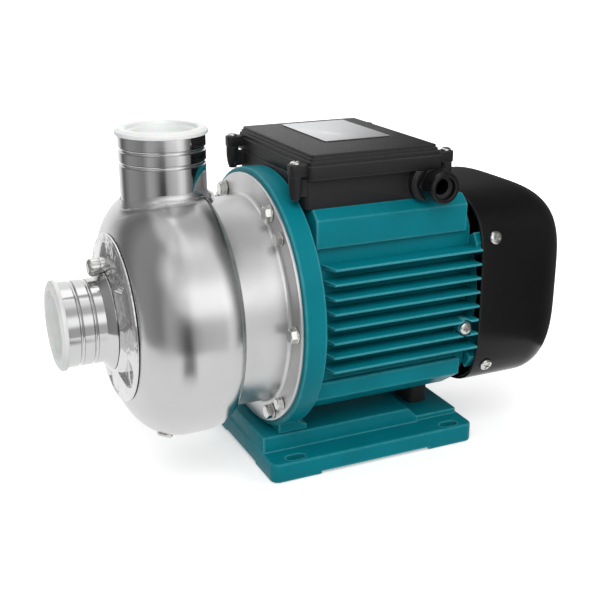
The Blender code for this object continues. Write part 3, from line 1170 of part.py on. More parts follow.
def make_housing(mats, axis):
    # Plain core with a rounded square section, full length.
    core = prism("motor_housing",
                 rectangle(2 * HOUSING_HALF, 2 * HOUSING_HALF, HOUSING_CORNER, 5),
                 "X", HOUSING_FRONT_X, HOUSING_REAR_X, mats["paint"], axis)

    # Shoulder that carries the box, and the lower skirt.
    near = [(-HOUSING_TOP_HALF, HOUSING_TOP_Z), (-SHOULDER_Y, SHOULDER_HIGH_Z)]
    near += [(-SHOULDER_Y, SHOULDER_LOW_Z)]
    near += [(-HOUSING_HALF + HOUSING_CORNER, SHOULDER_LOW_Z)]
    near += [(-HOUSING_HALF + HOUSING_CORNER, SKIRT_TOP_Z)]
    near += [(-SHOULDER_Y, SKIRT_TOP_Z), (-SHOULDER_Y, SKIRT_LOW_Z)]
    near += [(-HOUSING_BELOW_HALF, HOUSING_BELOW_Z)]
    frame = prism("add_housing_shoulders", mirrored_outline(near), "X", SHOULDER_START_X,
                  SHOULDER_END_X, None, axis)
    join(core, frame)

    # Cooling fins on both sides.
    bm = bmesh.new()
    root = HOUSING_HALF - 2 * FIN_THICKNESS
    for k in range(FIN_COUNT):
        z = FIN_PITCH * (k - (FIN_COUNT - 1) / 2)
        for side in (-1, 1):
            outline = [(side * root, z - FIN_THICKNESS * 0.7)]
            outline += [(side * FIN_TIP_Y, z - FIN_THICKNESS * 0.4)]
            outline += [(side * FIN_TIP_Y, z + FIN_THICKNESS * 0.4)]
            outline += [(side * root, z + FIN_THICKNESS * 0.7)]
            add_prism(bm, outline, "X", FIN_START_X, HOUSING_REAR_X)
    join(core, finish("add_housing_fins", bm, None, axis))

    bm = bmesh.new()
    z = earth_height()
    add_cylinder(bm, EARTH_BOSS_RADIUS, HOUSING_HALF * 0.95, EARTH_BOSS_Y, (0, -1, 0),
                 (EARTH_X, 0, z), STEPS_SMALL)
    join(core, finish("add_earth_boss", bm, None, axis))

    bm = bmesh.new()
    add_cylinder(bm, HOUSING_BORE, -WALL, HOUSING_REAR_X - HOUSING_FRONT_X + WALL, (1, 0, 0),
                 (HOUSING_FRONT_X, 0, 0), 2 * STEPS_LARGE)
    add_cylinder(bm, EARTH_SPOT_RADIUS, EARTH_BOSS_Y, 2 * EARTH_BOSS_Y, (0, -1, 0),
                 (EARTH_X, 0, z), STEPS_SMALL)
    cut(core, finish("cut_housing_bore", bm, None, axis))
    bm = bmesh.new()
    add_cylinder(bm, EARTH_THREAD + HOLE, HOUSING_HALF, 2 * EARTH_BOSS_Y, (0, -1, 0),
                 (EARTH_X, 0, z), STEPS_TINY)
    add_cylinder(bm, BOX_WIRE_HOLE, HOUSING_BORE * 0.8, HOUSING_TOP_Z * 1.1, (0, 0, 1),
                 (BLOCK_X, 0, 0), STEPS_SMALL)
    cut(core, finish("cut_housing_holes", bm, None, axis))
    return core


def earth_height():
    # Midway between the sixth and the seventh fin from the top.
    return -2.0 * FIN_PITCH


def make_stator(mats, axis):
    outer = HOUSING_BORE - GAP
    profile = [(ROTOR_START_X, STATOR_BORE), (ROTOR_START_X, outer)]
    profile += [(ROTOR_END_X, outer), (ROTOR_END_X, STATOR_BORE)]
    turned("stator_core", profile, mats["iron"], axis, steps=STEPS_MEDIUM)
    sleeve = STATOR_BORE - GAP
    front = ROTOR_START_X - GAP
    rear = ROTOR_END_X + GAP
    profile = [(front - WINDING_OVERHANG, WINDING_BORE)]
    profile += [(front - WINDING_OVERHANG, WINDING_RADIUS - WINDING_EDGE)]
    profile += [(front - WINDING_OVERHANG + WINDING_EDGE, WINDING_RADIUS), (front, WINDING_RADIUS)]
    profile += [(front, sleeve), (rear, sleeve), (rear, WINDING_RADIUS)]
    profile += [(rear + WINDING_OVERHANG - WINDING_EDGE, WINDING_RADIUS)]
    profile += [(rear + WINDING_OVERHANG, WINDING_RADIUS - WINDING_EDGE)]
    profile += [(rear + WINDING_OVERHANG, WINDING_BORE)]
    turned("stator_winding", profile, mats["copper"], axis, steps=STEPS_MEDIUM)


def cover_point(t, half, power=COVER_POWER):
    cos_t, sin_t = math.cos(t), math.sin(t)
    y = half * math.copysign(abs(cos_t) ** (2 / power), cos_t)
    z = half * math.copysign(abs(sin_t) ** (2 / power), sin_t) - COVER_DROP
    return y, z


def cover_side_at(z, half):
    # Distance of the cover's side from the middle plane, and its outward normal.
    high = (z + COVER_DROP) / half
    y = half * (1 - abs(high) ** COVER_POWER) ** (1 / COVER_POWER)
    normal = Vector((0, (y / half) ** (COVER_POWER - 1),
                     math.copysign(abs(high) ** (COVER_POWER - 1), high)))
    return y, normal.normalized()


def cover_screw_places():
    places = []
    for side in (-1, 1):
        for z in (COVER_SCREW_HIGH, COVER_SCREW_LOW):
            y, normal = cover_side_at(z, COVER_HALF)
            point = Vector((COVER_SCREW_X, side * y, z))
            places.append((point, Vector((0, side * normal.y, normal.z))))
    return places


def cover_sections(inset):
    # (x, half size) stations of the shell, from the open end to the dome.
    half = COVER_HALF - inset
    start = COVER_END_X - COVER_DOME_AXIAL
    stations = [(COVER_START_X, half), (start, half)]
    for step in range(1, COVER_DOME_STEPS + 1):
        angle = math.pi / 2 * step / COVER_DOME_STEPS
        x = start + (COVER_DOME_AXIAL - inset) * math.sin(angle)
        stations.append((x, half - COVER_DOME_RADIAL * (1 - math.cos(angle))))
    return stations


def make_fan_cover(mats, axis):
    bm = bmesh.new()
    count = COVER_STEPS
    rings = []
    for inset in (0.0, COVER_WALL):
        loops = []
        for x, half in cover_sections(inset):
            loop = []
            for k in range(count):
                y, z = cover_point(2 * math.pi * k / count, half)
                loop.append(bm.verts.new((x, y, z)))
            loops.append(loop)
        rings.append(loops)
    for loops in rings:
        for first, second in zip(loops, loops[1:]):
            for k in range(count):
                nxt = (k + 1) % count
                bm.faces.new((first[k], first[nxt], second[nxt], second[k]))
        bm.faces.new(loops[-1])
    for k in range(count):
        nxt = (k + 1) % count
        bm.faces.new((rings[0][0][k], rings[0][0][nxt], rings[1][0][nxt], rings[1][0][k]))
    cover = finish("fan_cover", bm, mats["black"], axis)

    bm = bmesh.new()
    for k in range(COVER_SLOTS):
        z = COVER_SLOT_PITCH * (k - (COVER_SLOTS - 1) / 2)
        length = 2 * math.sqrt(COVER_SLOT_CIRCLE ** 2 - z ** 2)
        add_prism(bm, stadium(length, COVER_SLOT_WIDTH, 1, (0.0, z - COVER_DROP)), "X",
                  COVER_END_X - COVER_DOME_AXIAL * 0.9, COVER_END_X + COVER_WALL)
    cut(cover, finish("cut_cover_slots", bm, None, axis))
    bm = bmesh.new()
    for point, normal in cover_screw_places():
        add_cylinder(bm, COVER_SCREW_THREAD + HOLE, -3 * COVER_WALL, COVER_WALL, normal, point,
                     STEPS_TINY)
    cut(cover, finish("cut_cover_holes", bm, None, axis))

    profile = [(-COVER_SCREW_LENGTH, 0.0), (-COVER_SCREW_LENGTH, COVER_SCREW_THREAD)]
    profile += [(GAP, COVER_SCREW_THREAD), (GAP, COVER_SCREW_HEAD)]
    profile += [(COVER_SCREW_HEIGHT * 0.5, COVER_SCREW_HEAD)]
    profile += [(COVER_SCREW_HEIGHT, COVER_SCREW_HEAD * 0.6), (COVER_SCREW_HEIGHT, 0.0)]
    for index, (point, normal) in enumerate(cover_screw_places()):
        turn = Vector((1, 0, 0)).rotation_difference(normal).to_euler()
        turned("cover_screw_%d" % (index + 1), profile, mats["zinc"], axis, location=point,
               rotation=turn, steps=STEPS_TINY)
    return cover


def make_end_shield(mats, axis):
    front = SHIELD_FRONT_X
    rear = front + SHIELD_THICKNESS
    spigot = HOUSING_BORE - GAP
    seat = REAR_BEARING_OUTER + GAP
    bearing_end = REAR_BEARING_X + REAR_BEARING_WIDTH
    profile = [(front - SPIGOT_LENGTH, spigot - SPIGOT_WALL), (front - SPIGOT_LENGTH, spigot)]
    profile += [(front, spigot), (front, SHIELD_HALF), (rear, SHIELD_HALF)]
    profile += [(rear, SHIELD_HUB_RADIUS), (bearing_end + WALL, SHIELD_HUB_RADIUS)]
    profile += [(bearing_end + WALL, SHAFT_FAN_RADIUS + 3 * RUN)]
    profile += [(bearing_end + GAP, SHAFT_FAN_RADIUS + 3 * RUN), (bearing_end + GAP, seat)]
    profile += [(REAR_BEARING_X - GAP, seat), (REAR_BEARING_X - GAP, SHIELD_HUB_RADIUS)]
    profile += [(front, SHIELD_HUB_RADIUS + GAP), (front, spigot - SPIGOT_WALL)]
    shield = turned("rear_end_shield", profile, mats["paint"], axis, steps=STEPS_MEDIUM)

    # Four arms that reach the inside of the cover and take its screws.
    bm = bmesh.new()
    for point, normal in cover_screw_places():
        inner = point - normal * (COVER_WALL + 3 * GAP)
        away = Vector((0, inner.y, inner.z))
        angle = math.atan2(away.z, away.y)
        reach = away.length
        made = add_prism(bm, rectangle(reach - SHIELD_HALF * 0.75, SHIELD_LUG_WIDTH, 0.0, 1,
                                       ((reach + SHIELD_HALF * 0.75) / 2 - COVER_WALL / 2, 0.0)),
                         "X", front, front + SHIELD_LUG_REACH)
        bmesh.ops.transform(bm, matrix=Matrix.Rotation(angle, 4, "X"), verts=made)
    join(shield, finish("add_shield_arms", bm, None, axis))
    inside = prism("keep_inside_cover",
                   [cover_point(2 * math.pi * k / COVER_STEPS,
                                COVER_HALF - COVER_WALL - 2 * GAP)
                    for k in range(COVER_STEPS)],
                   "X", front - 2 * SPIGOT_LENGTH, front + 2 * SHIELD_LUG_REACH, None, axis)
    combine(shield, inside, "INTERSECT")
    bm = bmesh.new()
    for point, normal in cover_screw_places():
        add_cylinder(bm, COVER_SCREW_THREAD + HOLE, -COVER_SCREW_LENGTH - WALL, COVER_WALL,
                     normal, point, STEPS_TINY)
    cut(shield, finish("cut_shield_holes", bm, None, axis))


# Terminal box

def box_middle():
    return (BOX_START_X + BOX_END_X) / 2


def post_places():
    places = []
    for x in (BOX_START_X - POST_OFFSET_X, BOX_END_X + POST_OFFSET_X):
        for side in (-1, 1):
            places.append((x, side * POST_Y))
    return places


def make_box(mats, origin):
    length = BOX_END_X - BOX_START_X
    middle = box_middle()
    body = prism("terminal_box",
                 rectangle(length, 2 * BOX_HALF_WIDTH, BOX_CORNER, 2, (middle, 0.0)),
                 "Z", BOX_FLOOR_Z, BOX_RIM_Z, mats["black"], origin)
    bm = bmesh.new()
    bore_z = POST_FOOT_Z
    for x, y in post_places():
        top = EAR_BOTTOM_Z - GAP
        add_cylinder(bm, POST_RADIUS, bore_z, top, (0, 0, 1), (x, y, 0), STEPS_SMALL)
        for vert in bm.verts:
            near = (vert.co.x - x) ** 2 + (vert.co.y - y) ** 2 < (POST_RADIUS * 1.01) ** 2
            if near and vert.co.z < bore_z + 1e-6:
                share = 1 - POST_TAPER / POST_RADIUS / 2
                vert.co.x = x + (vert.co.x - x) * share
                vert.co.y = y + (vert.co.y - y) * share
    join(body, finish("add_box_posts", bm, None, origin))
    bm = bmesh.new()
    for x, y in post_places():
        inner = BOX_START_X + BOX_WALL / 2 if x < middle else BOX_END_X - BOX_WALL / 2
        side = -1 if y < 0 else 1
        add_prism(bm, rectangle(abs(inner - x), POST_RADIUS, 0.0, 1,
                                ((inner + x) / 2, y - side * POST_RADIUS * 0.4)),
                  "Z", bore_z + POST_TAPER / 2, BOX_RIM_Z)
    join(body, finish("add_box_webs", bm, None, origin))
    boss = turned("add_gland_boss",
                  [(BOX_HALF_WIDTH - BOX_WALL / 2, 0.0),
                   (BOX_HALF_WIDTH - BOX_WALL / 2, GLAND_BOSS_RADIUS),
                   (GLAND_BOSS_Y - GLAND_EDGE, GLAND_BOSS_RADIUS),
                   (GLAND_BOSS_Y, GLAND_BOSS_RADIUS - GLAND_EDGE), (GLAND_BOSS_Y, 0.0)],
                  None, origin, location=(GLAND_X, 0, GLAND_Z), rotation=(0, 0, -math.pi / 2),
                  steps=STEPS_SMALL + 4)
    room = 4 * GLAND_BOSS_RADIUS
    keep = prism("trim_gland_boss", rectangle(room, room, 0.0, 1, (GLAND_X, -BOX_HALF_WIDTH)),
                 "Z", BOX_FLOOR_Z, BOX_RIM_Z, None, origin)
    combine(boss, keep, "INTERSECT")
    helper(keep)
    join(body, boss)

    bm = bmesh.new()
    inner = rectangle(length - 2 * BOX_WALL, 2 * (BOX_HALF_WIDTH - BOX_WALL),
                      BOX_CORNER - BOX_WALL / 2, 1, (middle, 0.0))
    add_prism(bm, inner, "Z", BOX_FLOOR_Z + BOX_WALL, LID_TOP_Z)
    cut(body, finish("cut_box_room", bm, None, origin))
    bm = bmesh.new()
    add_cylinder(bm, GLAND_THREAD_RADIUS + HOLE, BOX_HALF_WIDTH - 4 * BOX_WALL,
                 GLAND_BOSS_Y + BOX_WALL, (0, -1, 0), (GLAND_X, 0, GLAND_Z), STEPS_SMALL + 4)
    add_cylinder(bm, BOX_WIRE_HOLE, BOX_FLOOR_Z - BOX_WALL, BOX_FLOOR_Z + 2 * BOX_WALL,
                 (0, 0, 1), (BLOCK_X, 0, 0), STEPS_SMALL)
    for x, y in post_places():
        add_cylinder(bm, LID_SCREW_THREAD + HOLE, EAR_TOP_Z - LID_SCREW_LENGTH - BOX_WALL,
                     EAR_TOP_Z, (0, 0, 1), (x, y, 0), STEPS_TINY)
    cut(body, finish("cut_box_holes", bm, None, origin))


def make_lid(mats, origin):
    length = BOX_END_X - BOX_START_X
    middle = box_middle()
    bm = bmesh.new()
    add_prism(bm, rectangle(length, 2 * LID_HALF_WIDTH, BOX_CORNER, 2, (middle, 0.0)),
              "Z", LID_BOTTOM_Z, LID_STEP_Z)
    lid = finish("terminal_box_lid", bm, mats["black"], origin)
    top_x = length - 2 * LID_STEP
    top_y = 2 * (LID_HALF_WIDTH - LID_STEP)
    bm = bmesh.new()
    add_prism(bm, rectangle(top_x, top_y, BOX_CORNER - LID_STEP, 2, (middle, 0.0)), "Z",
              (LID_BOTTOM_Z + LID_STEP_Z) / 2, LID_TOP_Z)
    rim = [edge for edge in bm.edges
           if all(abs(v.co.z - LID_TOP_Z) < 1e-6 for v in edge.verts)]
    bmesh.ops.bevel(bm, geom=rim, offset=LID_STEP * 0.6, segments=1, affect="EDGES")
    join(lid, finish("add_lid_top", bm, None, origin))
    bm = bmesh.new()
    for x, y in post_places():
        inner = BOX_START_X + LID_WALL / 2 if x < middle else BOX_END_X - LID_WALL / 2
        ear = abs(inner - x) + POST_RADIUS
        centre_x = (inner + (x - POST_RADIUS if x < middle else x + POST_RADIUS)) / 2
        add_prism(bm, rectangle(ear, 2 * POST_RADIUS, POST_RADIUS * 0.55, 1, (centre_x, y)),
                  "Z", EAR_BOTTOM_Z, EAR_TOP_Z)
    join(lid, finish("add_lid_ears", bm, None, origin))

    bm = bmesh.new()
    room = rectangle(length - 2 * (LID_WALL + LID_STEP),
                     2 * (BOX_HALF_WIDTH - BOX_WALL), BOX_CORNER - BOX_WALL / 2, 1,
                     (middle, 0.0))
    add_prism(bm, room, "Z", BOX_FLOOR_Z, LID_TOP_Z - LID_WALL)
    cut(lid, finish("cut_lid_room", bm, None, origin))
    bm = bmesh.new()
    for x, y in post_places():
        add_cylinder(bm, LID_SCREW_THREAD + HOLE, POST_FOOT_Z, LID_TOP_Z, (0, 0, 1),
                     (x, y, 0), STEPS_TINY)
    cut(lid, finish("cut_lid_holes", bm, None, origin))

    profile = [(-LID_SCREW_LENGTH, 0.0), (-LID_SCREW_LENGTH, LID_SCREW_THREAD)]
    profile += [(GAP, LID_SCREW_THREAD), (GAP, LID_SCREW_HEAD)]
    profile += [(LID_SCREW_HEIGHT * 0.7, LID_SCREW_HEAD)]
    profile += [(LID_SCREW_HEIGHT, LID_SCREW_HEAD * 0.75), (LID_SCREW_HEIGHT, 0.0)]
    for index, (x, y) in enumerate(post_places()):
        turned("lid_screw_%d" % (index + 1), profile, mats["zinc"], origin,
               location=(x, y, EAR_TOP_Z), rotation=(0, -math.pi / 2, 0), steps=STEPS_TINY)

    prism("label_plate", rectangle(LABEL_LENGTH, LABEL_WIDTH, LABEL_CORNER, 2,
                                  (LABEL_X, LABEL_Y)),
          "Z", LID_TOP_Z + GAP, LID_TOP_Z + GAP + LABEL_THICKNESS, mats["label"], origin)


def make_gland(mats, origin):
    # Local +X of each piece points out of the box, towards -Y.
    place = {"location": (GLAND_X, 0, GLAND_Z), "rotation": (0, 0, -math.pi / 2)}
    seat = GLAND_BOSS_Y + GAP
    hex_end = seat + GLAND_HEX_LENGTH
    sleeve_end = hex_end + GLAND_SLEEVE_LENGTH
    inside = BOX_HALF_WIDTH - BOX_WALL
    hex_inner = GLAND_HEX_FLATS / 2
    profile = [(inside, GLAND_BORE), (inside, GLAND_THREAD_RADIUS)]
    profile += [(seat, GLAND_THREAD_RADIUS), (seat, hex_inner), (hex_end, hex_inner)]
    profile += [(hex_end, GLAND_SLEEVE_RADIUS), (sleeve_end, GLAND_SLEEVE_RADIUS)]
    profile += [(sleeve_end, GLAND_BORE)]
    turned("gland_body", profile, mats["black"], origin, steps=STEPS_SMALL + 4, **place)

    bore = GLAND_SLEEVE_RADIUS + GAP
    start = hex_end + GAP
    end = start + GLAND_NUT_LENGTH
    seal_start = sleeve_end + GAP
    seal_end = seal_start + GLAND_SEAL_LENGTH
    profile = [(start, bore), (start, GLAND_NUT_RADIUS), (end - GLAND_EDGE, GLAND_NUT_RADIUS)]
    profile += [(end, GLAND_NUT_RADIUS - GLAND_EDGE), (end, GLAND_BORE)]
    profile += [(seal_end + GAP, GLAND_BORE), (seal_end + GAP, bore)]
    turned("gland_nut", profile, mats["black"], origin, steps=STEPS_SMALL + 4, **place)

    ring = [(seal_start, GLAND_SEAL_BORE), (seal_start, GLAND_SLEEVE_RADIUS)]
    ring += [(seal_end, GLAND_SLEEVE_RADIUS), (seal_end, GLAND_SEAL_BORE)]
    turned("gland_seal", ring, mats["rubber"], origin, steps=STEPS_SMALL, **place)


def make_box_contents(mats, origin):
    floor = BOX_FLOOR_Z + BOX_WALL + GAP
    length, width, height = BLOCK_SIZE
    block_y = -BOX_HALF_WIDTH / 2 + BOX_WALL
    centre = (BLOCK_X, block_y)
    prism("terminal_block", rectangle(length, width, BLOCK_CORNER, 2, centre), "Z", floor,
          floor + height, mats["black"], origin)
    end = CAPACITOR_LENGTH / 2
    soft = CAPACITOR_RADIUS * 0.15
    profile = [(-end, 0.0), (-end, CAPACITOR_RADIUS - soft), (-end + soft, CAPACITOR_RADIUS)]
    profile += [(end - soft, CAPACITOR_RADIUS), (end, CAPACITOR_RADIUS - soft), (end, 0.0)]
    turned("capacitor", profile, mats["white"], origin,
           location=(CAPACITOR_X, BOX_HALF_WIDTH / 4, floor + CAPACITOR_RADIUS),
           rotation=(0, 0, math.pi / 2), steps=STEPS_SMALL + 2)


# Screws of the wet end and the foot

def hex_screw(name, thread, flats, collar, length, mats, parent, location, rotation=(0, 0, 0)):
    # Collar head screw. X = 0 is the seat, the head is at -X and the thread at +X.
    head = flats * HEAD_HEIGHT_RATIO
    rim = collar * COLLAR_HEIGHT_RATIO
    profile = [(-GAP - rim, flats / 2 * 0.96), (-GAP - rim, collar), (-GAP, collar)]
    profile += [(-GAP, thread), (length, thread), (length, 0.0), (-GAP - rim - head / 2, 0.0)]
    profile += [(-GAP - rim - head / 2, flats / 2 * 0.96)]
    screw = turned(name, profile, mats["zinc"], parent, location, rotation, STEPS_TINY)
    top = prism("add_hex_" + name, hexagon(flats), "X", -GAP - rim - head, -GAP - rim * 0.5,
                None, parent, location, rotation)
    join(screw, top)
    return screw


def make_flange_screws(mats, axis):
    length = BRACKET_FRONT_X + FLANGE_SCREW_DEPTH - WALL
    for index, (y, z) in enumerate(flange_screw_places(CASING_SCREWS, 0.0)):
        hex_screw("casing_screw_%d" % (index + 1), CASING_SCREW_THREAD, CASING_SCREW_FLATS,
                  CASING_SCREW_COLLAR, length, mats, axis, (0, y, z))
    for index, (y, z) in enumerate(flange_screw_places(BRACKET_SCREWS, 45.0)):
        hex_screw("bracket_screw_%d" % (index + 1), BRACKET_SCREW_THREAD,
                  BRACKET_SCREW_FLATS, BRACKET_SCREW_COLLAR, length, mats, axis, (0, y, z))


def make_foot_screws(mats, origin):
    for index, side in enumerate((-1, 1)):
        profile = [(-GAP - FOOT_SCREW_HEAD, 0.0)]
        profile += [(-GAP - FOOT_SCREW_HEAD, FOOT_SCREW_FLATS / 2), (-GAP, FOOT_SCREW_FLATS / 2)]
        profile += [(-GAP, FOOT_SCREW_THREAD), (FOOT_SCREW_GRIP, FOOT_SCREW_THREAD)]
        profile += [(FOOT_SCREW_GRIP, 0.0)]
        turned("foot_screw_%d" % (index + 1), profile, mats["zinc"], origin,
               location=(FOOT_SCREW_X, side * FOOT_SCREW_Y, FOOT_POCKET_Z),
               rotation=(0, -math.pi / 2, 0), steps=STEPS_TINY)


def make_earth_screw(mats, axis):
    profile = [(-EARTH_LENGTH, 0.0), (-EARTH_LENGTH, EARTH_THREAD)]
    profile += [(GAP, EARTH_THREAD), (GAP, EARTH_HEAD_RADIUS)]
    profile += [(EARTH_HEAD_HEIGHT * 0.4, EARTH_HEAD_RADIUS)]
    profile += [(EARTH_HEAD_HEIGHT * 0.4, EARTH_HEAD_RADIUS * 0.7)]
    profile += [(EARTH_HEAD_HEIGHT, EARTH_HEAD_RADIUS * 0.6), (EARTH_HEAD_HEIGHT, 0.0)]
    turned("earth_screw", profile, mats["zinc"], axis,
           location=(EARTH_X, -EARTH_BOSS_Y, earth_height()),
           rotation=(0, 0, -math.pi / 2), steps=STEPS_TINY)


def main():
    for obj in list(bpy.data.objects):
        bpy.data.objects.remove(obj, do_unlink=True)
    mats = make_materials()
    origin = empty("pump_frame", (-DRIVE_CENTRE_X, 0, 0))
    axis = empty("shaft_line", (0, 0, SHAFT_HEIGHT), origin)
    rotor = empty("rotor", (0, 0, 0), axis)

    make_casing(mats, axis)
    make_star_plate(mats, axis)
    make_suction_nozzle(mats, axis)
    make_discharge_nozzle(mats, origin)
    make_caps(mats, axis, origin)
    make_plugs(mats, axis)
    make_seal_plate(mats, axis)
    make_seal(mats, axis, rotor)
    make_flange_screws(mats, axis)

    make_shaft(mats, rotor)
    make_impeller(mats, rotor)
    make_fan(mats, rotor)
    make_bearing("front_bearing", FRONT_BEARING_X, FRONT_BEARING_WIDTH, FRONT_BEARING_BORE,
                 FRONT_BEARING_OUTER, mats, axis, rotor)
    make_bearing("rear_bearing", REAR_BEARING_X, REAR_BEARING_WIDTH, REAR_BEARING_BORE,
                 REAR_BEARING_OUTER, mats, axis, rotor)

    make_bracket(mats, axis)
    make_foot(mats, origin)
    make_foot_screws(mats, origin)
    make_housing(mats, axis)
    make_stator(mats, axis)
    make_end_shield(mats, axis)
    make_fan_cover(mats, axis)
    make_earth_screw(mats, axis)

    make_box(mats, origin)
    make_lid(mats, origin)
    make_gland(mats, origin)
    make_box_contents(mats, origin)
    bpy.context.view_layer.update()


main()
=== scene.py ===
"""Dresses a packed end-suction centrifugal pump: smooth pieces, finishes, studio and camera.

Lengths are metres. Sizes are written in the drive frame, in which X = 0 is the front face of
the casing flange and the shaft runs along X, and every mesh is then placed in the row frame.
"""

from __future__ import annotations

import json
import logging
import math
from dataclasses import dataclass
from enum import Enum
from typing import Iterable, Sequence

import bmesh
import bpy
from mathutils import Matrix, Vector

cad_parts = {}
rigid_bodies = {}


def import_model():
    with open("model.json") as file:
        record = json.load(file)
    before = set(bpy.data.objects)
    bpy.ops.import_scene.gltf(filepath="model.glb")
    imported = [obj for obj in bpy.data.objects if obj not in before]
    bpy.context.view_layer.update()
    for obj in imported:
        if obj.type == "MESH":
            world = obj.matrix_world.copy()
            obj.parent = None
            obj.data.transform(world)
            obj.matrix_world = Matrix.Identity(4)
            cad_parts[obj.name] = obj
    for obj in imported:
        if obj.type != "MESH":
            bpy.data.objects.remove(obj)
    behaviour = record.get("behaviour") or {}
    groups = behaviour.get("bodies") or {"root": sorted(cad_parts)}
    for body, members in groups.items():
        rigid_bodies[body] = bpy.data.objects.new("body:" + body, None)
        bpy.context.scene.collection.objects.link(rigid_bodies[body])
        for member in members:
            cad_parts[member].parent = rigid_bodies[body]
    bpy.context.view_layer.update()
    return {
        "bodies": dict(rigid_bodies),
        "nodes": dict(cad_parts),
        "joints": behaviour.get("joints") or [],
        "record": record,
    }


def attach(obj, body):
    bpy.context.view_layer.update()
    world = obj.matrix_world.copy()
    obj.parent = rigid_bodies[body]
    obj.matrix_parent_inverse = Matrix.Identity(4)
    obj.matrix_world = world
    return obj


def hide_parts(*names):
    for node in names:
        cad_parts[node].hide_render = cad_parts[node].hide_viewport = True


log = logging.getLogger("pump")

BMesh = bmesh.types.BMesh
Object = bpy.types.Object
Material = bpy.types.Material
NodeTree = bpy.types.NodeTree
Socket = bpy.types.NodeSocket
Point = tuple[float, float]
Triple = tuple[float, float, float]
Outline = list[Point]
Spot = tuple[Vector, Vector]
SocketSpec = dict[str, tuple[str, object]]

SHAFT_HEIGHT = 0.1342
FRAME_SHIFT = -0.05605
GAP = 0.0003
TINY = 1e-7

SCREW_CIRCLE = 0.0945
SCREW_ROWS = (("casing_screw", 6, 0.0, 0.0035), ("bracket_screw", 4, 45.0, 0.0030))
FOOT_SCREWS = ((0.0125, -0.022), (0.0125, 0.022))
FOOT_SCREW_HOLE = 0.0045
WIRE_HOLE = (0.0120, 0.0480)

ALONG = Vector((1, 0, 0))
UP = Vector((0, 0, 1))
NEAR = Vector((0, -1, 0))
ORIGIN = Matrix.Translation((FRAME_SHIFT, 0.0, 0.0))
SHAFT_LINE = Matrix.Translation((FRAME_SHIFT, 0.0, SHAFT_HEIGHT))
UPWARD = Matrix.Rotation(-math.pi / 2, 4, "Y")
DOWNWARD = Matrix.Rotation(math.pi / 2, 4, "Y")
NEARWARD = Matrix.Rotation(-math.pi / 2, 4, "Z")


class Body(Enum):
    """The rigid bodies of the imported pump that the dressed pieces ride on."""

    PUMP = "pump"
    SUCTION_CAP = "suction_cap_body"
    DISCHARGE_CAP = "discharge_cap_body"


class Finish(Enum):
    """The named finishes of the pump, each with the material slot of the record."""

    PRESSED_STEEL = ("pressed steel", "stainless")
    TURNED_STEEL = ("turned steel", "stainless")
    UPRIGHT_STEEL = ("turned steel of the outlet", "stainless")
    STAMPED_STEEL = ("stamped steel", "stainless")
    WELD_METAL = ("weld metal", "stainless")
    PLATED_SCREW = ("plated screw", "plated_steel")
    CAST_PAINT = ("enamel on cast iron", "cast_paint")
    HOUSING_PAINT = ("enamel on aluminium", "housing_paint")
    MOULDED_BLACK = ("moulded black", "black_plastic")
    GLOSSY_BLACK = ("glossy black", "black_plastic")
    MILKY_WHITE = ("milky white", "white_plastic")
    RUBBER = ("rubber", "rubber")
    CERAMIC = ("seal ceramic", "seal_ceramic")
    CARBON = ("seal carbon", "seal_carbon")
    COPPER = ("varnished copper", "copper")
    LAMINATION = ("laminations", "electrical_steel")
    FOIL = ("label foil", "label_foil")

    @property
    def slot(self) -> str:
        """Returns the record's material slot."""
        return self.value[1]


class Cut(Enum):
    """How a second mesh changes the first."""

    REMOVE = "DIFFERENCE"
    ADD = "UNION"
    KEEP = "INTERSECT"


# Outlines


def polar(radius: float, degrees: float) -> Point:
    """Returns the point at a radius and an angle."""
    angle = math.radians(degrees)
    return (radius * math.cos(angle), radius * math.sin(angle))


def arc(centre: Point, radii: Point, start: float, end: float, steps: int) -> Outline:
    """Points along an arc of an ellipse.

    Args:
        centre: Middle of the ellipse.
        radii: Its two half axes.
        start: First angle, in degrees.
        end: Last angle, in degrees.
        steps: Number of chords.

    Returns:
        The points from the first to the last angle.
    """
    points = []
    for step in range(steps + 1):
        angle = math.radians(start + (end - start) * step / steps)
        points.append((centre[0] + radii[0] * math.cos(angle), centre[1] + radii[1] * math.sin(angle)))
    return points


def soften(outline: Sequence[Point], radius: float, steps: int = 3, sharpest: float = 25.0) -> Outline:
    """Rounds the corners of a closed outline.

    Args:
        outline: Corner points in order.
        radius: Fillet radius. Short sides get a smaller one.
        steps: Chords in each fillet.
        sharpest: Corners that turn by less than this many degrees stay as they are.

    Returns:
        The outline with an arc in place of each corner.
    """
    made: Outline = []
    count = len(outline)
    for index, corner in enumerate(outline):
        here = Vector(corner)
        to_last = Vector(outline[index - 1]) - here
        to_next = Vector(outline[(index + 1) % count]) - here
        if to_last.length < TINY or to_next.length < TINY:
            continue
        turn = math.pi - to_last.angle(to_next)
        on_axis = abs(corner[1]) < TINY
        if turn < math.radians(sharpest) or on_axis:
            made.append(tuple(corner))
            continue
        reach = radius * math.tan(turn / 2)
        reach = min(reach, 0.45 * to_last.length, 0.45 * to_next.length)
        first = here + to_last.normalized() * reach
        last = here + to_next.normalized() * reach
        for step in range(steps + 1):
            share = step / steps
            low = first.lerp(here, share)
            high = here.lerp(last, share)
            made.append(tuple(low.lerp(high, share)))
    return made


def rounded_box(length: float, width: float, corner: float, centre: Point = (0.0, 0.0),
                steps: int = 6) -> Outline:
    """A rectangle with round corners.

    Args:
        length: Size along the first direction.
        width: Size along the second direction.
        corner: Corner radius.
        centre: Middle of the rectangle.
        steps: Chords in each corner.

    Returns:
        The closed outline.
    """
    points: Outline = []
    for quarter, (sx, sy) in enumerate(((1, 1), (-1, 1), (-1, -1), (1, -1))):
        middle = (centre[0] + sx * (length / 2 - corner), centre[1] + sy * (width / 2 - corner))
        points += arc(middle, (corner, corner), 90 * quarter, 90 * quarter + 90, steps)
    return points


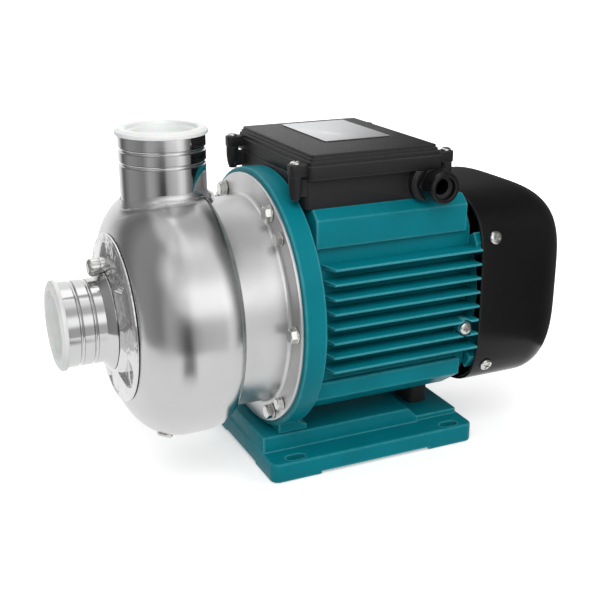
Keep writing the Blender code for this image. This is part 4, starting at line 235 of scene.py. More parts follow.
def hexagon(flats: float) -> Outline:
    """A hexagon with the given width over its flats."""
    return [polar(flats / math.sqrt(3), 60 * k) for k in range(6)]


# Meshes


def bridge(bm: BMesh, first: Sequence[bmesh.types.BMVert], second: Sequence[bmesh.types.BMVert]) -> None:
    """Joins two closed loops of vertices by a ring of faces.

    Args:
        bm: The mesh.
        first: One loop.
        second: The other loop, with as many vertices.
    """
    for k in range(len(first)):
        nxt = (k + 1) % len(first)
        bm.faces.new((first[k], first[nxt], second[nxt], second[k]))


def turned(outline: Sequence[Point], steps: int) -> BMesh:
    """Spins a closed outline of (x, radius) points about the X axis.

    Args:
        outline: Points in order. Those on the axis close the shape.
        steps: Number of facets round the axis.

    Returns:
        A closed mesh.
    """
    bm = bmesh.new()
    rings = []
    for x, radius in outline:
        if radius < TINY:
            rings.append([bm.verts.new((x, 0.0, 0.0))])
            continue
        angles = [2 * math.pi * k / steps for k in range(steps)]
        rings.append([bm.verts.new((x, radius * math.cos(a), radius * math.sin(a))) for a in angles])
    for here, after in zip(rings, rings[1:] + rings[:1]):
        if len(here) == 1 and len(after) == 1:
            continue
        for k in range(steps):
            nxt = (k + 1) % steps
            corners = [here[k % len(here)], here[nxt % len(here)]]
            corners += [after[nxt % len(after)], after[k % len(after)]]
            bm.faces.new(list(dict.fromkeys(corners)))
    bmesh.ops.recalc_face_normals(bm, faces=bm.faces)
    return bm


def extruded(outline: Sequence[Point], axis: str, start: float, end: float) -> BMesh:
    """Extrudes a closed outline.

    Args:
        outline: Points in the plane across the axis, in the order of the other two axes.
        axis: X, Y or Z.
        start: First end along the axis.
        end: Last end along the axis.

    Returns:
        A closed mesh.
    """
    order = {"X": (2, 0, 1), "Y": (0, 2, 1), "Z": (0, 1, 2)}[axis]
    bm = bmesh.new()
    low, high = ([bm.verts.new([(u, v, w)[k] for k in order]) for u, v in outline] for w in (start, end))
    bm.faces.new(low)
    bm.faces.new(high)
    bridge(bm, low, high)
    bmesh.ops.recalc_face_normals(bm, faces=bm.faces)
    return bm


def rod(radius: float, start: float, end: float, direction: Vector, centre: Vector,
        steps: int = 48) -> BMesh:
    """A closed cylinder.

    Args:
        radius: Its radius.
        start: Where it starts along the direction.
        end: Where it ends.
        direction: Its axis.
        centre: The point from which start and end are counted.
        steps: Facets round it.

    Returns:
        The mesh.
    """
    bm = bmesh.new()
    turn = UP.rotation_difference(direction).to_matrix().to_4x4()
    middle = centre + direction.normalized() * (start + end) / 2
    bmesh.ops.create_cone(bm, cap_ends=True, segments=steps, radius1=radius, radius2=radius,
                          depth=end - start, matrix=Matrix.Translation(middle) @ turn)
    return bm


def screw_points(count: int, first: float) -> list[Vector]:
    """Returns the places of a row of screws on the flange's circle, from a first angle."""
    return [Vector((0, *polar(SCREW_CIRCLE, first + 360.0 * k / count))) for k in range(count)]


def screw_holes(start: float, end: float) -> list[BMesh]:
    """Makes a rod for every screw of the flange.

    Args:
        start: Where the rods start along the shaft.
        end: Where they end.

    Returns:
        The rods, in the shaft frame.
    """
    holes = []
    for _, count, first, radius in SCREW_ROWS:
        holes += [rod(radius, start, end, ALONG, point, 20) for point in screw_points(count, first)]
    return holes


def foot_screw_holes(start: float, end: float) -> list[BMesh]:
    """Returns a rod for both screws of the foot, from one height to another."""
    return [rod(FOOT_SCREW_HOLE, start, end, UP, Vector((x, y, 0)), 24) for x, y in FOOT_SCREWS]


def wire_hole(start: float, end: float) -> BMesh:
    """Returns the rod of the hole that the wires pass through, from one height to another."""
    radius, x = WIRE_HOLE
    return rod(radius, start, end, UP, Vector((x, 0, 0)), 40)


def merged(meshes: Iterable[BMesh]) -> BMesh:
    """Puts several meshes into one, without joining them.

    Args:
        meshes: The meshes, which are freed.

    Returns:
        The whole mesh.
    """
    whole = bmesh.new()
    for part in meshes:
        temp = bpy.data.meshes.new("part")
        part.to_mesh(temp)
        part.free()
        whole.from_mesh(temp)
        bpy.data.meshes.remove(temp)
    return whole


def in_scene(name: str, data: bpy.types.ID) -> Object:
    """Makes an object and links it to the scene.

    Args:
        name: Name of the object.
        data: Its mesh, lamp or camera.

    Returns:
        The object.
    """
    obj = bpy.data.objects.new(name, data)
    bpy.context.scene.collection.objects.link(obj)
    return obj


def as_object(name: str, bm: BMesh, place: Matrix = Matrix.Identity(4)) -> Object:
    """Makes a scene object from a mesh, with its place in its vertices.

    Args:
        name: Name of the object.
        bm: The mesh, which is freed.
        place: Moves the mesh into the row frame.

    Returns:
        The object, at the origin.
    """
    bmesh.ops.transform(bm, matrix=place, verts=bm.verts)
    mesh = bpy.data.meshes.new(name)
    bm.to_mesh(mesh)
    bm.free()
    return in_scene(name, mesh)


def mesh_of(obj: Object) -> BMesh:
    """Takes the mesh out of an object, which is removed.

    Args:
        obj: The object.

    Returns:
        Its mesh.
    """
    bm = bmesh.new()
    bm.from_mesh(obj.data)
    bpy.data.objects.remove(obj)
    return bm


def settle(obj: Object) -> None:
    """Turns what the modifiers make into the object's own plain mesh.

    Args:
        obj: The object.
    """
    graph = bpy.context.evaluated_depsgraph_get()
    graph.update()
    mesh = bpy.data.meshes.new_from_object(obj.evaluated_get(graph), depsgraph=graph)
    obj.modifiers.clear()
    obj.data = mesh


def combine(obj: Object, other: Object, how: Cut = Cut.ADD) -> None:
    """Adds another object to an object, or takes it away.

    Args:
        obj: The object, which is changed.
        other: The other object, which is removed afterwards.
        how: What is done with it.
    """
    modifier = obj.modifiers.new("combine", "BOOLEAN")
    modifier.operation = how.value
    modifier.object = other
    settle(obj)
    bpy.data.objects.remove(other)


def carve(obj: Object, bm: BMesh, place: Matrix = Matrix.Identity(4), how: Cut = Cut.REMOVE) -> None:
    """Removes a mesh, moved by a place, from an object, or adds it, and frees the mesh."""
    combine(obj, as_object("cutter", bm, place), how)


def round_edges(obj: Object, width: float, segments: int = 2, angle: float = 35.0) -> None:
    """Rounds the edges of an object that turn by more than an angle.

    Args:
        obj: The object, which is changed.
        width: Width of the rounding.
        segments: Facets across it.
        angle: Smallest turn that is rounded, in degrees.
    """
    modifier = obj.modifiers.new("edges", "BEVEL")
    modifier.width = width
    modifier.segments = segments
    modifier.limit_method = "ANGLE"
    modifier.angle_limit = math.radians(angle)
    modifier.use_clamp_overlap = True
    modifier.miter_outer = "MITER_ARC"
    settle(obj)


# Node trees


class NodeBuilder:
    """Adds nodes to a tree, each with its settings and its inputs in one call."""

    def __init__(self, tree: NodeTree) -> None:
        """Takes up a tree."""
        self.tree = tree

    def feed(self, value: object, socket: Socket) -> None:
        """Links a socket, or sets a plain value.

        Args:
            value: The source, as a socket or a plain value.
            socket: The input.
        """
        if isinstance(value, Socket):
            self.tree.links.new(value, socket)
        else:
            socket.default_value = value

    def node(self, kind: str, inputs: dict[str | int, object] | None = None,
             **settings: object) -> bpy.types.Node:
        """Adds a node.

        Args:
            kind: Its type.
            inputs: A socket or a plain value for each input that isn't left as it is.
            **settings: Its properties.

        Returns:
            The node.
        """
        made = self.tree.nodes.new(kind)
        for key, value in settings.items():
            setattr(made, key, value)
        for key, value in (inputs or {}).items():
            self.feed(value, made.inputs[key])
        return made

    def math(self, operation: str, first: object, second: object = 0.0, clamp: bool = False) -> Socket:
        """Returns the output of a math node, held between 0 and 1 if clamp is set."""
        made = self.node("ShaderNodeMath", {0: first, 1: second}, operation=operation, use_clamp=clamp)
        return made.outputs[0]

    def flat_length(self, x: Socket, y: Socket) -> Socket:
        """Returns the length of a vector in a plane."""
        return self.math("SQRT", self.math("ADD", self.math("POWER", x, 2.0), self.math("POWER", y, 2.0)))

    def beyond(self, value: Socket, middle: float, half: float) -> Socket:
        """Returns how many halves a value lies from a middle, to the fourth power."""
        share = self.math("DIVIDE", self.math("SUBTRACT", value, middle), half)
        return self.math("POWER", self.math("ABSOLUTE", share), 4.0)

    def spread(self, value: Socket, span: Point, levels: tuple[object, object], **settings: object) -> Socket:
        """Maps a span of values to two levels and what lies between them.

        Args:
            value: The value.
            span: Its first and last value.
            levels: What they become, as numbers or sockets.
            **settings: Properties of the node.

        Returns:
            The mapped value.
        """
        inputs = {"Value": value, "From Min": span[0], "From Max": span[1],
                  "To Min": levels[0], "To Max": levels[1]}
        return self.node("ShaderNodeMapRange", inputs, **settings).outputs["Result"]

    def noise(self, vector: Socket, scale: object, detail: float = 2.0) -> Socket:
        """Returns a noise between 0 and 1."""
        inputs = {"Vector": vector, "Scale": scale, "Detail": detail}
        return self.node("ShaderNodeTexNoise", inputs).outputs["Fac"]

    def seen(self) -> Socket:
        """Tells the rays that look at a surface, or are mirrored or let through to it.

        Returns:
            The mask.
        """
        rays = self.node("ShaderNodeLightPath").outputs
        first = self.math("MAXIMUM", rays["Is Camera Ray"], rays["Is Glossy Ray"])
        return self.math("MAXIMUM", first, rays["Is Transmission Ray"])


class NodeGroup(NodeBuilder):
    """A node group under construction, with named inputs and outputs."""

    def __init__(self, name: str, inputs: SocketSpec, outputs: Sequence[str], kind: str = "Shader",
                 result: str = "Float") -> None:
        """Makes the group's sockets.

        Args:
            name: Name of the group.
            inputs: Kind and default of each input.
            outputs: Names of the outputs.
            kind: Shader or Geometry.
            result: Kind of every output.
        """
        super().__init__(bpy.data.node_groups.new(name, f"{kind}NodeTree"))
        face = self.tree.interface
        for label, (sort, value) in inputs.items():
            socket = face.new_socket(label, in_out="INPUT", socket_type=f"NodeSocket{sort}")
            if value is not None:
                socket.default_value = value
        for label in outputs:
            face.new_socket(label, in_out="OUTPUT", socket_type=f"NodeSocket{result}")
        self.given = self.node("NodeGroupInput").outputs
        self.result = self.node("NodeGroupOutput").inputs


class GeometryGroup(NodeGroup):
    """A Geometry Nodes group that ends by giving its result a finish."""

    def __init__(self, name: str, **inputs: str) -> None:
        """Makes the group.

        Args:
            name: Name of the group.
            inputs: Kind of each input besides Geometry and Finish.
        """
        sockets = {"Geometry": "Geometry", **inputs, "Finish": "Material"}
        spec = {label.replace("_", " "): (kind, None) for label, kind in sockets.items()}
        super().__init__(name, spec, ["Geometry"], "Geometry", "Geometry")

    def paint(self, geometry: Socket) -> NodeTree:
        """Gives the geometry its finish, as the group's result.

        Args:
            geometry: The geometry.

        Returns:
            The finished tree.
        """
        inputs = {"Geometry": geometry, "Material": self.given["Finish"]}
        painted = self.node("GeometryNodeSetMaterial", inputs)
        self.feed(painted.outputs["Geometry"], self.result["Geometry"])
        return self.tree


def placing_tree() -> NodeTree:
    """Geometry Nodes that put one shape on each point of a mesh, turned to its facing.

    Returns:
        The tree.
    """
    group = GeometryGroup("place_on_points", Shape="Object", Most_Turn="Float", Seed="Int")
    given = group.given
    shape = group.node("GeometryNodeObjectInfo", {"As Instance": True, "Object": given["Shape"]})
    facing = group.node("GeometryNodeInputNamedAttribute", {"Name": "facing"}, data_type="FLOAT_VECTOR")
    align = group.node("FunctionNodeAlignRotationToVector", {"Vector": facing.outputs["Attribute"]}, axis="X")
    chance = group.node("FunctionNodeRandomValue", {3: given["Most Turn"], "Seed": given["Seed"]},
                        data_type="FLOAT")
    spin = group.node("FunctionNodeAxisAngleToRotation", {"Axis": (1.0, 0.0, 0.0),
                                                          "Angle": chance.outputs[1]})
    turn = group.node("FunctionNodeRotateRotation", {"Rotation": align.outputs["Rotation"],
                                                     "Rotate By": spin.outputs["Rotation"]},
                      rotation_space="LOCAL")
    place = group.node("GeometryNodeInstanceOnPoints", {"Points": given["Geometry"],
                                                        "Instance": shape.outputs["Geometry"],
                                                        "Rotation": turn.outputs["Rotation"]})
    real = group.node("GeometryNodeRealizeInstances", {"Geometry": place.outputs["Instances"]})
    return group.paint(real.outputs["Geometry"])


def fin_tree() -> NodeTree:
    """Geometry Nodes that stack cooling fins on both sides of a housing.

    Returns:
        The tree.
    """
    group = GeometryGroup("stack_fins", Fin="Object", Count="Int", Pitch="Vector", Lowest="Vector",
                          Place="Vector")
    given = group.given
    fin = group.node("GeometryNodeObjectInfo", {"As Instance": True, "Object": given["Fin"]})
    line = group.node("GeometryNodeMeshLine", {"Count": given["Count"], "Start Location": given["Lowest"],
                                               "Offset": given["Pitch"]}, mode="OFFSET")
    put = group.node("GeometryNodeInstanceOnPoints", {"Points": line.outputs["Mesh"],
                                                      "Instance": fin.outputs["Geometry"]})
    real = group.node("GeometryNodeRealizeInstances", {"Geometry": put.outputs["Instances"]})
    other = group.node("GeometryNodeTransform", {"Geometry": real.outputs["Geometry"],
                                                 "Rotation": (math.pi, 0.0, 0.0)})
    both = group.node("GeometryNodeJoinGeometry")
    for side in (real, other):
        group.feed(side.outputs["Geometry"], both.inputs["Geometry"])
    move = group.node("GeometryNodeTransform", {"Geometry": both.outputs["Geometry"],
                                                "Translation": given["Place"]})
    return group.paint(move.outputs["Geometry"])


def bead_tree() -> NodeTree:
    """Geometry Nodes that lay an uneven weld bead along a closed path.

    Returns:
        The tree.
    """
    group = GeometryGroup("weld_bead", Radius="Float", Ripple="Float")
    given = group.given
    path = group.node("GeometryNodeMeshToCurve", {"Mesh": given["Geometry"]})
    ring = group.node("GeometryNodeCurvePrimitiveCircle", {"Resolution": 10, "Radius": given["Radius"]})
    tube = group.node("GeometryNodeCurveToMesh", {"Curve": path.outputs["Curve"],
                                                  "Profile Curve": ring.outputs["Curve"]})
    noise = group.node("ShaderNodeTexNoise", {"Scale": 420.0})
    amount = group.math("MULTIPLY", group.math("SUBTRACT", noise.outputs["Fac"], 0.5), given["Ripple"])
    normal = group.node("GeometryNodeInputNormal")
    scaled = group.node("ShaderNodeVectorMath", {0: normal.outputs["Normal"]}, operation="SCALE")
    group.feed(amount, scaled.inputs["Scale"])
    shift = group.node("GeometryNodeSetPosition", {"Geometry": tube.outputs["Mesh"],
                                                   "Offset": scaled.outputs["Vector"]})
    smooth = group.node("GeometryNodeSetShadeSmooth", {"Geometry": shift.outputs["Geometry"]})
    return group.paint(smooth.outputs["Geometry"])


def run_tree(obj: Object, tree: NodeTree, values: dict[str, object]) -> None:
    """Runs a Geometry Nodes tree on an object and keeps the result as its plain mesh.

    Args:
        obj: The object, which is changed.
        tree: The tree.
        values: Value of each named input.
    """
    modifier = obj.modifiers.new(tree.name, "NODES")
    modifier.node_group = tree
    for item in tree.interface.items_tree:
        if item.in_out == "INPUT" and item.name in values:
            modifier[item.identifier] = values[item.name]
    settle(obj)


# Shader groups and finishes


def make_grain() -> NodeTree:
    """Moulded or cast grain: a fine height with a coarser one under it.

    Returns:
        The tree.
    """
    group = NodeGroup("grain", {"Vector": ("Vector", (0, 0, 0)), "Scale": ("Float", 900.0),
                                "Coarse": ("Float", 0.4)}, ["Height", "Tone"])
    vector, scale, coarse = list(group.given)[:3]
    fine = group.noise(vector, scale)
    rough = group.noise(vector, group.math("MULTIPLY", scale, 0.22), 3.0)
    group.feed(group.math("ADD", fine, group.math("MULTIPLY", rough, coarse)), group.result["Height"])
    group.feed(rough, group.result["Tone"])
    return group.tree


def make_turning() -> NodeTree:
    """Fine lines round an axis along X, as a press or a lathe leaves them.

    Returns:
        The tree.
    """
    group = NodeGroup("turning_lines", {"Vector": ("Vector", (0, 0, 0)), "Scale": ("Float", 900.0)},
                      ["Height", "Tone"])
    apart = group.node("ShaderNodeSeparateXYZ", {0: group.given["Vector"]})
    x, y, z = apart.outputs
    angle = group.math("ARCTAN2", y, z)
    place = group.node("ShaderNodeCombineXYZ", {"X": x, "Y": group.flat_length(y, z),
                                                "Z": group.math("MULTIPLY", angle, 0.002)})
    lines = group.noise(place.outputs[0], group.given["Scale"], 4.0)
    for label in ("Height", "Tone"):
        group.feed(lines, group.result[label])
    return group.tree


def make_edges() -> NodeTree:
    """A mask of sharp edges in patches, where a paler colour is painted on as a highlight.

    Returns:
        The tree.
    """
    group = NodeGroup("edge_wear", {"Vector": ("Vector", (0, 0, 0)), "Width": ("Float", 0.001),
                                    "Amount": ("Float", 1.0)}, ["Mask"])
    soft = group.node("ShaderNodeBevel", {"Radius": group.given["Width"]}, samples=4)
    plain = group.node("ShaderNodeNewGeometry")
    dot = group.node("ShaderNodeVectorMath", {0: soft.outputs["Normal"], 1: plain.outputs["Normal"]},
                     operation="DOT_PRODUCT")
    # Painted highlight: the sharper an edge, the paler it is painted, broken into patches by noise.
    sharp = group.math("SUBTRACT", 1.0, dot.outputs["Value"])
    patchy = group.math("MULTIPLY", group.noise(group.given["Vector"], 160.0, 4.0), 2.0)
    highlight_mask = group.math("MULTIPLY", group.math("MULTIPLY", sharp, 9.0), patchy)
    group.feed(group.math("MULTIPLY", highlight_mask, group.given["Amount"], clamp=True), group.result["Mask"])
    return group.tree


def make_tone() -> NodeTree:
    """Slow changes over a surface, between two values.

    Returns:
        The tree.
    """
    group = NodeGroup("slow_tone", {"Vector": ("Vector", (0, 0, 0)), "Scale": ("Float", 18.0),
                                    "Low": ("Float", 0.0), "High": ("Float", 1.0)}, ["Value"])
    cloud = group.noise(group.given["Vector"], group.given["Scale"])
    levels = (group.given["Low"], group.given["High"])
    group.feed(group.spread(cloud, (0.35, 0.65), levels, clamp=False), group.result["Value"])
    return group.tree


@dataclass(frozen=True)
class GroupSet:
    """The shared shader groups."""

    grain: NodeTree
    turning: NodeTree
    edges: NodeTree
    tone: NodeTree


class Coat(NodeBuilder):
    """One material under construction."""

    def __init__(self, name: str, colour: Sequence[float], roughness: float, metallic: float = 0.0) -> None:
        """Starts a material with its plain values.

        Args:
            name: Name of the material.
            colour: Its colour.
            roughness: Its roughness.
            metallic: 1 for bare metal, 0 for the rest.
        """
        self.material = bpy.data.materials.new(name)
        self.material.use_nodes = True
        super().__init__(self.material.node_tree)
        self.material.diffuse_color = (*colour, 1.0)
        self.shader = self.tree.nodes["Principled BSDF"]
        self.vector = self.node("ShaderNodeTexCoord").outputs["Object"]
        self.set(Base_Color=(*colour, 1.0), Roughness=roughness, Metallic=metallic)

    def set(self, **values: object) -> None:
        """Sets or links inputs of the shader, with spaces written as underscores."""
        for key, value in values.items():
            self.feed(value, self.shader.inputs[key.replace("_", " ")])

    def before(self, label: str) -> object:
        """Returns what feeds an input of the shader now: a socket, or its plain value."""
        socket = self.shader.inputs[label]
        return socket.links[0].from_socket if socket.is_linked else socket.default_value

    def show(self, shader: bpy.types.Node) -> None:
        """Makes a shader the one that the surface shows."""
        self.feed(shader.outputs[0], self.tree.nodes["Material Output"].inputs["Surface"])

    def group(self, tree: NodeTree, vector: Socket | None = None,
              **values: float) -> bpy.types.NodeOutputs:
        """Returns the outputs of a shared group that reads a vector, or the object's own."""
        inputs = {"Vector": vector or self.vector, **values}
        return self.node("ShaderNodeGroup", inputs, node_tree=tree).outputs

    def about(self, centre: Sequence[float], turn: Sequence[float] = (0.0, 0.0, 0.0)) -> Socket:
        """Coordinates counted from a point, and turned after that.

        Args:
            centre: The point, in the row frame.
            turn: Angles about X, Y and Z.

        Returns:
            The vector.
        """
        shift = self.node("ShaderNodeVectorMath", {0: self.vector, 1: centre}, operation="SUBTRACT")
        mapping = self.node("ShaderNodeMapping", {"Rotation": turn, "Vector": shift.outputs[0]})
        return mapping.outputs["Vector"]

    def bump(self, height: Socket, distance: float) -> None:
        """Adds a bump over those before it.

        Args:
            height: The height, from 0 to 1.
            distance: What 1 means, in metres.
        """
        inputs = {"Distance": distance, "Strength": 1.0, "Height": height}
        if self.shader.inputs["Normal"].is_linked:
            inputs["Normal"] = self.before("Normal")
        self.set(Normal=self.node("ShaderNodeBump", inputs).outputs["Normal"])

    def vary_roughness(self, mask: Socket, low: float, high: float) -> None:
        """Lets a mask move the roughness between two values."""
        self.set(Roughness=self.spread(mask, (0.3, 0.7), (low, high)))

    def roughen(self, vector: Socket, span: Point, extra: float) -> None:
        """Adds roughness past a place along X.

        Args:
            vector: Coordinates whose X is used.
            span: Where it starts and where it is full.
            extra: The added roughness.
        """
        apart = self.node("ShaderNodeSeparateXYZ", {0: vector})
        more = self.spread(apart.outputs["X"], span, (0.0, extra))
        self.set(Roughness=self.math("ADD", self.before("Roughness"), more))

    def tint(self, mask: Socket, colour: Sequence[float], amount: float) -> None:
        """Mixes a second colour in.

        Args:
            mask: Where it shows.
            colour: The second colour.
            amount: Largest share of it.
        """
        share = self.math("MULTIPLY", mask, amount, clamp=True)
        mix = self.node("ShaderNodeMix", data_type="RGBA")
        for key, value in ((6, self.before("Base Color")), (7, (*colour, 1.0)), (0, share)):
            self.feed(value, mix.inputs[key])
        self.set(Base_Color=mix.outputs[2])


@dataclass(frozen=True)
class SteelFinish:
    """Bare stainless or plated steel with turning lines and slow changes of gloss."""

    name: str
    colour: Triple = (0.60, 0.60, 0.60)
    shiny: float = 0.16
    dull: float = 0.25
    line_scale: float = 700.0
    line_depth: float = 0.00002
    ripple_scale: float = 26.0
    ripple_depth: float = 0.0004
    centre: Triple = (FRAME_SHIFT, 0.0, SHAFT_HEIGHT)
    turn: Triple = (0.0, 0.0, 0.0)
    satin: float = 0.0
    satin_span: Point = (-0.040, -0.030)

    def make(self, groups: GroupSet) -> Material:
        """Makes the finish.

        Args:
            groups: The shared node groups.

        Returns:
            The material.
        """
        coat = Coat(self.name, self.colour, self.shiny, 1.0)
        own = coat.about(self.centre, self.turn)
        lines = coat.group(groups.turning, own, Scale=self.line_scale)
        slow = coat.group(groups.tone, own, Scale=self.ripple_scale, Low=0.3, High=0.7)["Value"]
        coat.bump(slow, self.ripple_depth)
        coat.bump(lines["Height"], self.line_depth)
        coat.vary_roughness(slow, self.shiny, self.dull)
        coat.tint(slow, [value * 0.9 for value in self.colour], 0.7)
        if self.satin > 0.0:
            coat.roughen(own, self.satin_span, self.satin)
        return coat.material


@dataclass(frozen=True)
class PlasticFinish:
    """Moulded plastic or rubber: a fine grain, paler edges as a painted highlight and slow changes of tone.
    """

    name: str
    colour: Triple = (0.014, 0.014, 0.015)
    # Paler colour of the edges: a painted highlight.
    edge: Triple = (0.085, 0.085, 0.086)
    gloss: float = 0.42
    dull: float = 0.54
    grain_scale: float = 2200.0
    grain_depth: float = 0.00005
    glow: float = 0.0
    shine: float = 0.5
    coarse: float = 0.3
    shade: float | Triple = 0.8
    shade_scale: float = 30.0
    shade_share: float = 0.5
    edge_width: float = 0.0010
    edge_amount: float = 1.4
    edge_share: float = 0.6

    def make(self, groups: GroupSet) -> Material:
        """Makes the finish.

        Args:
            groups: The shared node groups.

        Returns:
            The material.
        """
        coat = Coat(self.name, self.colour, self.gloss)
        coat.set(Specular_IOR_Level=self.shine)
        grain = coat.group(groups.grain, Scale=self.grain_scale, Coarse=self.coarse)
        slow = coat.group(groups.tone, Scale=self.shade_scale, Low=0.0, High=1.0)["Value"]
        edges = coat.group(groups.edges, Width=self.edge_width, Amount=self.edge_amount)["Mask"]
        coat.bump(grain["Height"], self.grain_depth)
        coat.vary_roughness(grain["Tone"], self.gloss, self.dull)
        plain = isinstance(self.shade, float)
        shade = [value * self.shade for value in self.colour] if plain else self.shade
        coat.tint(slow, shade, self.shade_share)
        # Painted highlight: the edges take the paler edge colour.
        coat.tint(edges, self.edge, self.edge_share)
        if self.glow > 0.0:
            coat.set(Subsurface_Weight=self.glow, Subsurface_Scale=0.004)
        return coat.material


@dataclass(frozen=True)
class EnamelFinish(PlasticFinish):
    """Sprayed enamel: orange peel, thin paler edges as a painted highlight and slow changes of tone."""

    colour: Triple = (0.001, 0.172, 0.212)
    # Paler colour of the edges: a painted highlight.
    edge: Triple = (0.090, 0.380, 0.420)
    gloss: float = 0.30
    dull: float = 0.42
    grain_scale: float = 420.0
    grain_depth: float = 0.00010
    shine: float = 0.07
    coarse: float = 0.6
    shade: float | Triple = (0.002, 0.120, 0.145)
    shade_scale: float = 22.0
    shade_share: float = 0.35
    edge_width: float = 0.0018
    edge_amount: float = 2.0
    edge_share: float = 0.85


@dataclass(frozen=True)
class BandedFinish:
    """Metal with close bands along the shaft, such as laminations or wire."""

    name: str
    colour: Triple
    dark: Triple
    metallic: float
    roughness: float
    bands: float

    def make(self, groups: GroupSet) -> Material:
        """Makes the finish.

        Args:
            groups: The shared node groups.

        Returns:
            The material.
        """
        coat = Coat(self.name, self.colour, self.roughness, self.metallic)
        inputs = {"Vector": coat.vector, "Scale": self.bands, "Distortion": 0.4}
        wave = coat.node("ShaderNodeTexWave", inputs, bands_direction="X").outputs["Fac"]
        slow = coat.group(groups.tone, Scale=40.0, Low=0.0, High=1.0)["Value"]
        coat.bump(wave, 0.0002)
        coat.tint(wave, self.dark, 0.6)
        coat.tint(slow, self.dark, 0.3)
        return coat.material


def row_point(x: float, y: float, z: float) -> Vector:
    """Moves a point of the drive frame into the row frame."""
    return Vector((x + FRAME_SHIFT, y, z))


class Palette:
    """Every finish of the pump, made once."""

    def __init__(self) -> None:
        """Makes the shared groups and all the materials."""
        groups = GroupSet(make_grain(), make_turning(), make_edges(), make_tone())
        lathe = ((0.64, 0.64, 0.64), 0.06, 0.11, 900.0, 0.00001, 30.0, 0.0001)
        upright = (0.0, math.pi / 2, 0.0)
        made = {
            Finish.PRESSED_STEEL: SteelFinish("pressed_steel", shiny=0.18, dull=0.27, satin=0.14),
            Finish.TURNED_STEEL: SteelFinish("turned_steel", *lathe),
            Finish.UPRIGHT_STEEL: SteelFinish(
                "turned_upright_steel", *lathe, row_point(-0.068, 0.0, 0.0), upright),
            Finish.STAMPED_STEEL: SteelFinish(
                "stamped_steel", (0.74, 0.74, 0.74), 0.12, 0.20, 600.0, 0.00002, 75.0, 0.0011),
            Finish.WELD_METAL: SteelFinish(
                "weld_bead", (0.64, 0.635, 0.625), 0.22, 0.34, 500.0, 0.00003, 160.0, 0.0001),
            Finish.PLATED_SCREW: SteelFinish(
                "plated_screw", (0.66, 0.66, 0.64), 0.16, 0.24, 1500.0, 0.00001, 120.0, 0.00002),
            Finish.CAST_PAINT: EnamelFinish(
                "enamel_on_cast_iron", grain_scale=300.0, grain_depth=0.00022, coarse=1.2),
            Finish.HOUSING_PAINT: EnamelFinish("enamel_on_aluminium"),
            Finish.MOULDED_BLACK: PlasticFinish("moulded_black", (0.012, 0.012, 0.0125), shine=0.22),
            Finish.GLOSSY_BLACK: PlasticFinish(
                "cover_black", (0.006, 0.006, 0.0065), (0.04, 0.04, 0.04), 0.17, 0.24, 900.0, 0.00001,
                shine=0.24),
            Finish.MILKY_WHITE: PlasticFinish(
                "milky_white", (0.74, 0.76, 0.75), (0.85, 0.86, 0.86), 0.28, 0.36, 700.0, 0.00003, 0.35),
            Finish.RUBBER: PlasticFinish(
                "rubber", (0.012, 0.012, 0.012), (0.03, 0.03, 0.03), 0.70, 0.85, 1400.0, 0.0001),
            Finish.CERAMIC: PlasticFinish(
                "seal_ceramic", (0.74, 0.70, 0.62), (0.80, 0.77, 0.70), 0.22, 0.32, 900.0, 0.00001),
            Finish.CARBON: PlasticFinish(
                "seal_carbon", (0.03, 0.03, 0.032), (0.08, 0.08, 0.08), 0.40, 0.55, 1600.0, 0.00003),
            Finish.COPPER: BandedFinish(
                "varnished_copper", (0.45, 0.16, 0.06), (0.16, 0.05, 0.02), 0.7, 0.38, 260.0),
            Finish.LAMINATION: BandedFinish(
                "lamination", (0.30, 0.30, 0.31), (0.10, 0.10, 0.11), 0.9, 0.45, 500.0),
            Finish.FOIL: SteelFinish(
                "label_foil", (0.66, 0.67, 0.68), 0.30, 0.36, 1200.0, 0.00001, 30.0, 0.00005,
                row_point(0.085, 0.0165, 0.0), upright),
        }
        self.materials = {finish: recipe.make(groups) for finish, recipe in made.items()}

    def of(self, finish: Finish) -> Material:
        """Returns the material of a finish."""
        return self.materials[finish]


